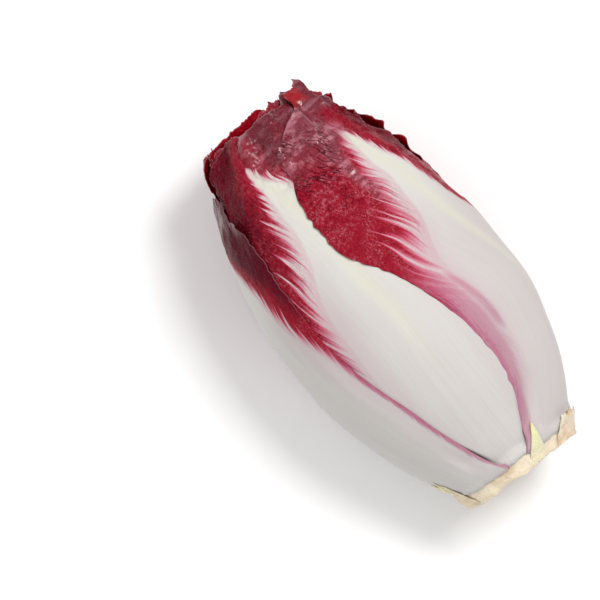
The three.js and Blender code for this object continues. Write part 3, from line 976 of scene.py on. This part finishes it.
def stub_grids(spec, seed, rows=60, columns=60):
    """A stub as a thin shell on the ring: its half-width narrows from foot to tip by a power,
    its ends are ragged, and it stands off more towards the tip."""
    u, v = np.meshgrid(np.linspace(-1, 1, columns + 1), np.linspace(0, 1, rows + 1))
    (x0, a0), (x1, a1) = spec["foot"], spec["tip"]
    foot_half, tip_half = spec["halves"]
    ragged = noise(u * 5 + 3, 0 * u, STUB_RAGGED + seed)
    ragged += 0.5 * noise(u * 13, 0 * u, STUB_NICKS + seed)
    wide = tip_half / foot_half
    x = x0 + v * (x1 - x0) * (1 + 0.16 * ragged * min(wide * 2, 1)) + 0.3 * (1 - v) * ragged
    half = foot_half * (1 - (1 - wide) * v ** spec["blunt"])
    half = half * (1 + 0.05 * noise(v * 7, 0 * u + seed, STUB_SIDES))
    angle = a0 + v * (a1 - a0) + u * half
    lowest = np.maximum(ring_curve(x), laid_leaves()["outside"](x, angle)) + 0.1
    swollen = (1 - u * u) * (1 - v ** 3)
    crumple = noise(angle / 3, x / 1.3, STUB_CRUMPLE + seed)
    crumple = 0.25 * (crumple + 0.6 * noise(angle / 1.2, x / 0.6, STUB_CREASES + seed))
    inner = lowest + spec["stand"] * v**2 + 0.25 * np.maximum(crumple, 0)
    outer = inner + LEAST_THICKNESS + (spec["thickness"] + np.abs(crumple)) * swollen
    data = {"along": x, "turn": angle, "face": v, "edge": np.minimum(1 - np.abs(u), 1 - v)}
    return (place_in_frame(x, angle, inner), data), (place_in_frame(x, angle, outer), data)


# ---- Materials ----


class Value:
    """A node socket that Python's operators work on: each adds a Math node."""

    def __init__(self, nodes, socket):
        self.nodes, self.socket = nodes, socket

    def math(self, operation, *others):
        inputs = {i: v for i, v in enumerate((self, *others))}
        return self.nodes.add("ShaderNodeMath", {"operation": operation}, inputs)

    def __add__(self, other):
        return self.math("ADD", other)

    def __sub__(self, other):
        return self.math("SUBTRACT", other)

    def __rsub__(self, other):
        return (self * -1) + other

    def __mul__(self, other):
        return self.math("MULTIPLY", other)

    def __truediv__(self, other):
        return self.math("DIVIDE", other)

    def __pow__(self, other):
        return self.math("POWER", other)

    def __or__(self, other):
        """The larger of the two."""
        return self.math("MAXIMUM", other)

    __radd__, __rmul__ = __add__, __mul__


class Nodes:
    """A material's node tree, and one method that adds any node to it."""

    def __init__(self, name):
        self.material = bpy.data.materials.new(name)
        self.material.use_nodes = True
        self.tree = self.material.node_tree
        self.shader = self.tree.nodes["Principled BSDF"]

    def add(self, kind, settings, inputs, output=0):
        """Adds a node, makes its settings, then fills its sockets by name or number with
        values or links, and returns one output."""
        node = self.tree.nodes.new(kind)
        for key, value in settings.items():
            setattr(node, key, value)
        for key, value in inputs.items():
            self.fill(node.inputs[key], value)
        return Value(self, node.outputs[output])

    def fill(self, socket, value):
        if isinstance(value, Value):
            self.tree.links.new(value.socket, socket)
        else:
            socket.default_value = value

    def finish(self, sockets):
        """Fills the shader's sockets by name with links or values."""
        for name, value in sockets.items():
            self.fill(self.shader.inputs[name], value)
        return self.material

    def attribute(self, name):
        return self.add("ShaderNodeAttribute", {"attribute_name": name}, {}, "Fac")

    @functools.cached_property
    def place(self):
        return self.add("ShaderNodeTexCoord", {}, {}, "Object")

    def vector(self, x, y, z):
        return self.add("ShaderNodeCombineXYZ", {}, {"X": x, "Y": y, "Z": z})

    def noise(self, vector, scale, detail, roughness):
        inputs = {"Vector": vector, "Scale": scale, "Detail": detail, "Roughness": roughness}
        return self.add("ShaderNodeTexNoise", {}, inputs, "Fac")

    def speckle(self, scale, detail, roughness):
        """Noise over the place in the model."""
        return self.noise(self.place, scale, detail, roughness)

    def pattern(self, p, q, lane, detail, roughness):
        """Noise over two of a leaf's own measures, in a lane of its own."""
        return self.noise(self.vector(p, q, lane), 1.0, detail, roughness)

    def smooth(self, value, low, high, out_low=0.0, out_high=1.0):
        """A smooth step of value from low to high, onto out_low to out_high."""
        ranges = {"From Min": low, "From Max": high, "To Min": out_low, "To Max": out_high}
        smoothly = {"interpolation_type": "SMOOTHSTEP"}
        return self.add("ShaderNodeMapRange", smoothly, {"Value": value, **ranges})

    def fall(self, value, low, high):
        """1 below low, 0 above high."""
        return self.smooth(value, low, high, 1.0, 0.0)

    def mixed(self, factor, a, b):
        """A number from a to b."""
        return a + (b - a) * factor

    def mix(self, factor, a, b):
        """A colour from a to b."""
        node = self.tree.nodes.new("ShaderNodeMix")
        node.data_type = "RGBA"
        ends = [s for s in node.inputs if s.type == "RGBA"]
        self.fill(node.inputs["Factor"], factor)
        for socket, value in zip(ends, (a, b)):
            self.fill(socket, value)
        return Value(self, next(s for s in node.outputs if s.type == "RGBA"))

    def layered(self, colour, *layers):
        """A colour with others laid over it in turn, as (factor, colour) pairs."""
        for factor, over in layers:
            colour = self.mix(factor, colour, over)
        return colour

    def bump(self, height, distance, strength=1.0, normal=None):
        inputs = {"Height": height, "Distance": distance, "Strength": strength}
        if normal:
            inputs["Normal"] = normal
        return self.add("ShaderNodeBump", {}, inputs)


# How far apart the white veins run, and between which places along the head the red gains its
# full strength, the blade starts to blister, and the pebbled crown's painted highlights and shade
# begin.
VEIN_SPACING = 5.2
RED_STARTS = (50, 74)
BLISTERS_START = (50, 85)
PEBBLES_START = (84, 106)


def leaf_streaks(n, s):
    """Fine streaks, along the veins in the blade and along the leaf near its foot."""
    veins = n.pattern(s.vein * 1.9, s.blade * 0.09, s.side, 3.0, 0.6)
    strands = n.pattern(s.blade * 1.3, s.along * 0.035, s.side, 2.0, 0.6)
    return n.mixed(n.smooth(s.along, *RED_STARTS), strands, veins)


def leaf_strength(n, s):
    """How red the skin is, from 0 to 1: a soft step outwards from the rib's border, which
    pointed white veins of three sizes push out and fine streaks break up. It fades by the
    leaf's own curve towards the foot. A line along the rim, the two low tints and, last, thin
    pale veins are laid over it."""
    streaks = leaf_streaks(n, s)
    beat = n.pattern(s.vein * 0.16, s.blade * 0.03, s.side, 1.0, 0.5) * 2
    beat = s.vein / VEIN_SPACING + beat + s.side

    def spikes(value, power):
        """A zigzag between 0 and 1, once for each whole number, sharpened by a power."""
        return (value.math("PINGPONG", 0.5) * 2) ** power

    whole = beat.math("FLOOR")
    share = n.add("ShaderNodeTexWhiteNoise", {"noise_dimensions": "1D"}, {"W": whole}, "Value")
    feather = spikes(beat, 1.8) * (share + 0.3)
    feather = feather + spikes(beat * 2.7, 1.8) * 0.3 + spikes(beat * 6.3 + 0.4, 1.5) * 0.12
    red = n.smooth((s.blade - feather * s.reach) / s.soft, 0.0, 1.0)
    red = n.smooth(s.blade, -0.8, 0.8) * (red * 0.87 + 0.13)
    red = red + (streaks - 0.5) * red * (1 - red) * n.smooth(s.along, *RED_STARTS, 3.4, 2.0)
    rim_line = n.fall(s.rim, 0.1, 1.1) * n.smooth(s.along, 6, 60, 0.5, 0.8)
    tints = (s.lilac | s.band) * (streaks * 1.2 + 0.4)
    thread = n.pattern(s.vein * 1.15, s.blade * 0.05, s.side * 1.7, 1.0, 0.5)
    threads = n.fall((thread - 0.5).math("ABSOLUTE"), 0.0, 0.04) * n.smooth(s.blade, 0, 9, 0.3, 0.0)
    return ((red * s.fade) | rim_line | tints) * (1 - threads)


def rib_colour(n, s, tone):
    """The white rib: lavender towards the blade and in long stripes, with a yellow-green ridge
    along its middle."""
    shade = n.pattern(s.middle * 0.35, s.along * 0.03, s.side, 2.0, 0.55) - 0.5
    lavender = n.smooth(s.blade + shade * 8, -15, 1) * n.smooth(s.along, 10, 80, 0.6, 1.0)
    lavender = (lavender | (s.tint + shade * 0.3)) * n.smooth(s.along, 68, 100, 1.0, 0.2)
    ridge = n.fall(s.middle.math("ABSOLUTE"), 0.3, 4.5) * n.smooth(s.along, 35, 70, 0.0, 0.6)
    stripes = n.pattern(s.middle * 1.5, s.along * 0.022, s.side, 3.0, 0.6)
    stripes = n.smooth(stripes, 0.42, 0.75, 0.0, 0.45) * n.smooth(s.along, 90, 20, 0.4, 1.0)
    white = n.mix(n.smooth(s.along, 60, 108), tone.white, tone.tip_white)
    over = (lavender, tone.lavender), (ridge, tone.ridge), (stripes, tone.lavender)
    return n.layered(white, *over)


def blade_colour(n, s, tone, strength, mottle, fissure, blistered):
    """The whole skin: from the rib through pink and magenta to crimson by strength, then the
    crown's plum with a painted sheen, pebbles with painted highlights and painted shade, darker
    tips and cracks darkened by painted shade, a bright inner face lightened further as a painted
    glow, glistening specks and a pale line along the rim. Returned with the plum's share."""
    blush = n.mix(n.smooth(s.along, 40, 75), tone.lilac, tone.blush)
    magenta = n.mix(n.smooth(s.along, 50, 82), tone.purple, tone.magenta)
    plum = n.smooth(s.plum + (mottle - 0.5) * 0.8, 0.1, 0.9) * (1 - fissure * 0.6)
    # Painted sheen: the noise mixes the crown's plum towards pale highlights.
    sheen = n.pattern(s.round * 0.2, s.along * 0.42, s.side, 3.0, 0.6)
    painted_sheen = n.mix(n.smooth(sheen, 0.46, 0.66), tone.plum, tone.sheen_highlight)
    outside = strength * (1 - s.inside)
    # Pebbles: painted highlights where the noise is high and painted shade in their hollows where
    # it is low; no bump goes with them.
    pebbles = n.pattern(s.round, s.along * 0.8, s.side, 4.0, 0.7) + (sheen - 0.5) * 0.45
    pebble_highlights = n.smooth(pebbles, 0.5, 0.76) * n.smooth(s.along, *PEBBLES_START, 0.25, 0.6)
    pebble_shade = n.smooth(pebbles, 0.5, 0.3) * n.smooth(s.along, *PEBBLES_START, 0.3, 0.8)
    # Darker tips are the leaf's own colour and mottle varies it at random; the cracks are darkened
    # as painted shade.
    depth = s.dark * n.smooth(s.blade, 2, 13) + (mottle - 0.5) * 0.45 + fissure * 0.95
    specks = n.smooth(n.speckle(1700.0, 2.0, 0.6), 0.5, 0.72)
    specks = specks * n.smooth(n.speckle(180.0, 2.0, 0.5), 0.35, 0.65)
    colour = n.layered(
        rib_colour(n, s, tone),
        (n.smooth(strength, 0.0, 0.3), blush),
        (n.smooth(strength, 0.15, 0.75), magenta),
        (n.smooth(strength, 0.6, 1.0), tone.crimson),
        (plum * strength, painted_sheen),
        (pebble_highlights * outside * (1 - s.dark * 0.8) * (1 - plum * 0.8), tone.sheen_highlight),
        (pebble_shade * outside * (1 - plum * 0.5), tone.maroon),
        (n.smooth(depth, 0.1, 0.95) * strength, tone.maroon),
        # The inner face's own brighter red, made brighter still as a painted glow of light shining
        # through the thin leaf.
        (s.inside * strength, tone.bright),
        (specks * blistered * (1 - s.inside) * (1 - s.dark) * 0.42, tone.glint),
        (n.smooth(s.rim, 0.0, 0.4, 0.3, 0.0) * n.smooth(s.along, 70, 100), tone.blush),
    )
    return colour, plum


def leaf_relief(n, s, fissure, blistered):
    """Bumps laid on each other, heights in metres: long ridges of the rib, veins, cracks,
    creases across the crown, cells between the veins, and their grain."""
    ribs = n.pattern(s.middle * 0.5, s.along * 0.02, s.side, 2.0, 0.6)
    veins = n.pattern(s.vein * 1.3, s.blade * 0.08, s.side, 2.0, 0.6)
    creases = n.pattern(s.along * 0.5, s.round * 0.13, s.side, 2.0, 0.55)
    cells = n.speckle(600.0, 2.0, 0.6)
    grain = n.speckle(1900.0, 1.0, 0.5)
    normal = None
    for height, distance, amount in (
        (ribs, 0.0006, 0.15),
        (veins * n.smooth(s.blade, -3, 2), 0.0006, 0.3),
        (fissure, -0.0004, 0.6),
        (creases * n.smooth(s.along, 108, 118) * blistered, 0.0016, 0.6),
        (cells * blistered, 0.0011, 0.8),
        (grain * blistered, 0.00022, 0.9),
    ):
        normal = n.bump(height, distance, amount, normal)
    return normal


@remembered
def leaf_material():
    """Skin of a leaf, glossier where it is red and coated in the crown. The cracks are the
    edges of cells stretched along the veins, where a broad noise lets them show."""
    n = Nodes("leaf_skin")
    s = SimpleNamespace(**{name: n.attribute(name) for name in LEAF_DATA})
    strength = leaf_strength(n, s)
    mottle = n.speckle(160.0, 3.0, 0.6)
    across = n.vector(s.vein * 0.42 + mottle * 1.2, s.blade * 0.17 + mottle, s.side)
    cracks = n.add(
        "ShaderNodeTexVoronoi", {"feature": "DISTANCE_TO_EDGE"},
        {"Vector": across, "Scale": 1.0, "Randomness": 1.0}, "Distance",
    )
    # Where the cracks show: blade_colour darkens them as painted shade and leaf_relief sinks them
    # as a bump.
    creased = n.smooth(n.speckle(90.0, 1.0, 0.5), 0.3, 0.5) * n.smooth(s.blade, 5, 9)
    fissure = n.fall(cracks, 0.0, 0.085) * creased * s.cracks
    blistered = n.smooth(s.blade, -1, 6) * n.smooth(s.along, *BLISTERS_START)
    tone = SimpleNamespace(**colours())
    colour, plum = blade_colour(n, s, tone, strength, mottle, fissure, blistered)
    return n.finish({
        "Base Color": colour,
        "Roughness": n.smooth(strength, 0.0, 1.0, 0.48, 0.25),
        "Normal": leaf_relief(n, s, fissure, blistered),
        "Coat Weight": plum * strength * 0.9, "Coat Roughness": 0.22,
        "IOR": 1.15, "Specular IOR Level": 0.25,
        "Subsurface Weight": 0.12, "Subsurface Scale": 0.0015,
        "Subsurface Radius": (1.0, 0.6, 0.5),
    })


@remembered
def stem_material(name, green, dry):
    """Stem and torn leaf feet: cream, greener by the share green, corky with brown torn edges
    by the share dry, shaded beside the front leaf, with tan stains and brown specks."""
    tone = SimpleNamespace(**colours())
    n = Nodes(name)
    along, face, turn = n.attribute("along"), n.attribute("face"), n.attribute("turn")
    blot = n.speckle(120.0, 4.0, 0.65)
    stain = n.smooth(blot, 0.62 - 0.2 * dry, 0.8 - 0.2 * dry)
    specks = n.smooth(n.speckle(520.0, 2.0, 0.5), 0.7 - 0.06 * dry, 0.78 - 0.06 * dry)
    specks = specks * n.smooth(blot, 0.4, 0.6)
    shaded = n.smooth(turn, -42, -32) * n.fall(turn, -10, -2) * n.smooth(along, 1.6, 2.6)
    rind = n.fall(n.attribute("edge"), 0.0, 0.12) * n.smooth(blot, 0.42, 0.56) * dry
    colour = n.layered(
        n.mix(n.smooth(along, 1.0, 5.5), tone.cream, tone.foot),
        (face * green, tone.leaf_green),
        (n.smooth(blot, 0.35, 0.6, 0.25, 0.8) * dry, tone.cork),
        (shaded * n.smooth(blot, 0.35, 0.55) * 0.55, tone.tan),
        (rind * 0.8, tone.brown),
        (stain * 0.8, tone.tan),
        (specks * 0.8, tone.brown),
    )
    return n.finish({
        "Base Color": colour,
        "Roughness": n.smooth(stain, 0, 1, 0.5, 0.8),
        "Normal": n.bump(n.speckle(650.0, 4.0, 0.65), 0.0008, 0.7),
        "Subsurface Weight": 0.15, "Subsurface Scale": 0.002,
    })


# ---- Settings ----


def swatch(name, description, default):
    """A colour that the panel sets."""
    return FloatVectorProperty(name=name, description=description, subtype="COLOR", default=default)


def number(name, description, subtype, default, **limits):
    """A number that the panel sets."""
    return FloatProperty(
        name=name, description=description, subtype=subtype, default=default, **limits
    )


class EndiveShape(bpy.types.PropertyGroup):
    """How strongly the leaves are shaped, as shares of a usual head's."""

    folds: number("Folds", "Height of the folds that all leaves share", "FACTOR", 1, min=0, max=2)
    wrinkle: number("Puckers", "Height of the blades' puckers", "FACTOR", 1, min=0, max=2)
    frill: number("Frill", "Height of the ruffles near the tips", "FACTOR", 1, min=0, max=2)


class EndiveColours(bpy.types.PropertyGroup):
    """Colours of the head."""

    white: swatch("Rib white", "Midrib and leaf base", (0.57, 0.57, 0.54))
    tip_white: swatch("Tip white", "The rib near the leaf's tip", (0.63, 0.63, 0.59))
    lavender: swatch("Lavender", "Shade of the white towards the blade", (0.53, 0.465, 0.465))
    ridge: swatch("Ridge", "Yellow-green middle of the rib", (0.62, 0.61, 0.50))
    lilac: swatch("Lilac", "Palest tint near the butt", (0.45, 0.28, 0.33))
    blush: swatch("Blush", "Palest pink where the red begins", (0.54, 0.29, 0.34))
    purple: swatch("Purple pink", "Stronger tint near the butt", (0.40, 0.12, 0.20))
    magenta: swatch("Magenta", "Feathered edge of the red", (0.47, 0.055, 0.105))
    crimson: swatch("Crimson", "Blade of the leaf", (0.27, 0.006, 0.018))
    # Plum is the crown's own dark red. The next colour is painted sheen: the pale highlights on the
    # crown's folds and on the pebbles.
    plum: swatch("Plum", "Dusty bloom of the crown's folds", (0.215, 0.025, 0.045))
    sheen_highlight: swatch("Dusty plum", "Palest bloom of the crown's folds", (0.47, 0.165, 0.215))
    glint: swatch("Glint", "Fine glistening specks on the blade", (0.60, 0.26, 0.30))
    # Maroon is the tips' own darkest red; it also paints the shade in the pebbles' hollows and in
    # the cracks.
    maroon: swatch("Maroon", "Darkest parts near the tips", (0.085, 0.002, 0.010))
    # Bright red is the inner face's own red, lightened further as a painted glow of light through
    # the leaf.
    bright: swatch("Bright red", "Inner face of the blade", (0.32, 0.003, 0.012))
    cream: swatch("Cream", "Fresh cut stem", (0.80, 0.70, 0.52))
    foot: swatch("Foot", "Stem where the leaves leave it", (0.74, 0.70, 0.55))
    leaf_green: swatch("Leaf green", "Tip of the small pale stub", (0.72, 0.73, 0.32))
    tan: swatch("Tan", "Dried stains on the stem", (0.58, 0.40, 0.22))
    cork: swatch("Cork", "Dried feet of the old leaves", (0.70, 0.50, 0.37))
    brown: swatch("Brown", "Small spots on the stem", (0.26, 0.09, 0.05))


class EndiveStage(bpy.types.PropertyGroup):
    """Camera, light and floor."""

    azimuth: number("Azimuth", "Camera's bearing round the head", "ANGLE", math.radians(232))
    elevation: number("Elevation", "Camera's height above the horizon", "ANGLE", math.radians(79))
    distance: number("Distance", "Camera to the middle of the head", "DISTANCE", 1.1)
    span: number("Span", "Width that the view takes in at the head", "DISTANCE", 0.191)
    key: number("Key light", "Power of the small lamp", "POWER", 5.3)
    fill: number("Fill light", "Power of the broad lamp", "POWER", 2.9)
    sky: number("Sky", "Strength of the light from all round", "FACTOR", 0.52)
    sky_colour: swatch("Sky colour", "Colour of the light from all round", (1, 0.98, 0.97))
    floor: swatch("Floor", "Colour of the floor", (0.95, 0.95, 0.95))


# ---- Operators ----


def finish_piece(piece, material, nodes):
    """Gives a piece its material, hangs it under the root body and hides the model's parts that it
    stands for.
    """
    piece.data.materials.append(material)
    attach(piece, "root")
    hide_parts(*nodes)


def leaf_piece(name):
    piece = shell(name + "_skin", laid_leaves()[name])
    finish_piece(piece, leaf_material(), [name])


class ENDIVE_OT_outer_leaves(bpy.types.Operator):
    """Builds the five leaves that show all round the head"""

    bl_idname = "endive.outer_leaves"
    bl_label = "Outer Leaves"

    def execute(self, context):
        for spec in OUTER_LEAVES:
            leaf_piece(spec["name"])
        return {"FINISHED"}


class ENDIVE_OT_inner_leaves(bpy.types.Operator):
    """Builds the leaves whose frilled tips fill the crown"""

    bl_idname = "endive.inner_leaves"
    bl_label = "Inner Leaves"

    def execute(self, context):
        for i in range(INNER_LEAVES):
            leaf_piece(inner_name(i))
        return {"FINISHED"}


class ENDIVE_OT_heart(bpy.types.Operator):
    """Builds the tight bud in the middle of the head"""

    bl_idname = "endive.heart"
    bl_label = "Heart"

    def execute(self, context):
        piece = turned("heart_bud_skin", *heart_grid())
        finish_piece(piece, leaf_material(), ["heart_bud"])
        return {"FINISHED"}


class ENDIVE_OT_stem(bpy.types.Operator):
    """Builds the stem with its cut face and torn ring"""

    bl_idname = "endive.stem"
    bl_label = "Stem"

    def execute(self, context):
        piece = turned("stem_core_skin", *stem_grid())
        finish_piece(piece, stem_material("cut_stem", 0.0, 0.25), ["stem_core"])
        return {"FINISHED"}


# The finish of each stub: its material's name, and its shares of green and dry.
DRY_STUB = ("dry_stub", 0.0, 1.0)
STUB_FINISHES = {
    "leaf_stub_1": ("pale_stub", 0.9, 0.0),
    "leaf_stub_2": ("yellow_stub", 0.5, 0.6),
}


class ENDIVE_OT_stubs(bpy.types.Operator):
    """Builds the torn remains of older leaves round the butt"""

    bl_idname = "endive.stubs"
    bl_label = "Leaf Stubs"

    def execute(self, context):
        for seed, (name, spec) in enumerate(STUBS.items()):
            piece = shell(name + "_skin", stub_grids(spec, seed))
            material = stem_material(*STUB_FINISHES.get(name, DRY_STUB))
            finish_piece(piece, material, [name])
        return {"FINISHED"}


FLOOR_HALF = 3.0
LAMP_DISTANCE = 0.9
SENSOR_WIDTH = 36
AIM_LEFT = 0.0287
AIM_DOWN = 0.0006


class ENDIVE_OT_stage(bpy.types.Operator):
    """Sets out the floor, the lights and the camera"""

    bl_idname = "endive.stage"
    bl_label = "Stage"

    def execute(self, context):
        stage = context.scene.endive_stage
        low, high = (Vector(v) for v in CAD_BOX)
        middle = (low + high) / 2

        corners = FLOOR_HALF * np.array([(-1, -1, 0), (1, -1, 0), (1, 1, 0), (-1, 1, 0)])
        floor = mesh_piece("floor", corners, np.array([[0, 1, 2, 3]]), {})
        paint = Nodes("floor").finish({"Base Color": (*stage.floor, 1.0), "Roughness": 0.9})
        floor.data.materials.append(paint)

        world = bpy.data.worlds.new("studio")
        context.scene.world = world
        world.use_nodes = True
        sky = world.node_tree.nodes["Background"].inputs
        sky["Color"].default_value = (*stage.sky_colour, 1.0)
        sky["Strength"].default_value = stage.sky

        az, el = stage.azimuth, stage.elevation
        right = Vector((math.cos(az), math.sin(az), 0))
        back = Vector((
            math.sin(az) * math.cos(el), -math.cos(az) * math.cos(el), math.sin(el),
        ))
        up = back.cross(right)

        def softbox(name, direction, width, power):
            light = bpy.data.lights.new(name, "AREA")
            light.size = width
            light.energy = power
            holder = bpy.data.objects.new(name, light)
            holder.location = middle + direction.normalized() * LAMP_DISTANCE
            aim = middle - holder.location
            holder.rotation_euler = aim.to_track_quat("-Z", "Y").to_euler()
            context.scene.collection.objects.link(holder)

        softbox("key", back + right * 0.36 + up * 0.45, 0.3, stage.key)
        softbox("fill", back - right * 0.45 - up * 0.1, 0.9, stage.fill)

        lens = bpy.data.cameras.new("camera")
        lens.sensor_width = SENSOR_WIDTH
        lens.lens = SENSOR_WIDTH * stage.distance / stage.span
        camera = bpy.data.objects.new("camera", lens)
        aim = middle - right * AIM_LEFT - up * AIM_DOWN
        camera.location = aim + back * stage.distance
        camera.rotation_euler = (-back).to_track_quat("-Z", "Y").to_euler()
        context.scene.collection.objects.link(camera)
        context.scene.camera = camera
        context.scene.view_settings.view_transform = "Standard"
        return {"FINISHED"}


OPERATORS = (
    ENDIVE_OT_outer_leaves,
    ENDIVE_OT_inner_leaves,
    ENDIVE_OT_heart,
    ENDIVE_OT_stem,
    ENDIVE_OT_stubs,
    ENDIVE_OT_stage,
)
GROUPS = {
    "endive_shape": EndiveShape,
    "endive_colours": EndiveColours,
    "endive_stage": EndiveStage,
}


class ENDIVE_PT_panel(bpy.types.Panel):
    """The endive's pieces and settings in the sidebar"""

    bl_label = "Endive"
    bl_space_type = "VIEW_3D"
    bl_region_type = "UI"
    bl_category = "Endive"

    def draw(self, context):
        for operator in OPERATORS:
            self.layout.operator(operator.bl_idname)
        for attribute, group in GROUPS.items():
            for name in group.__annotations__:
                self.layout.prop(getattr(context.scene, attribute), name)


CLASSES = (*GROUPS.values(), *OPERATORS, ENDIVE_PT_panel)


def register():
    for cls in CLASSES:
        bpy.utils.register_class(cls)
    for attribute, group in GROUPS.items():
        setattr(bpy.types.Scene, attribute, PointerProperty(type=group))


def unregister():
    for attribute in GROUPS:
        delattr(bpy.types.Scene, attribute)
    for cls in reversed(CLASSES):
        bpy.utils.unregister_class(cls)


def main():
    register()
    bpy.ops.endive.outer_leaves()
    bpy.ops.endive.inner_leaves()
    bpy.ops.endive.heart()
    bpy.ops.endive.stem()
    bpy.ops.endive.stubs()
    bpy.ops.endive.stage()


if __name__ == "__main__":
    main()
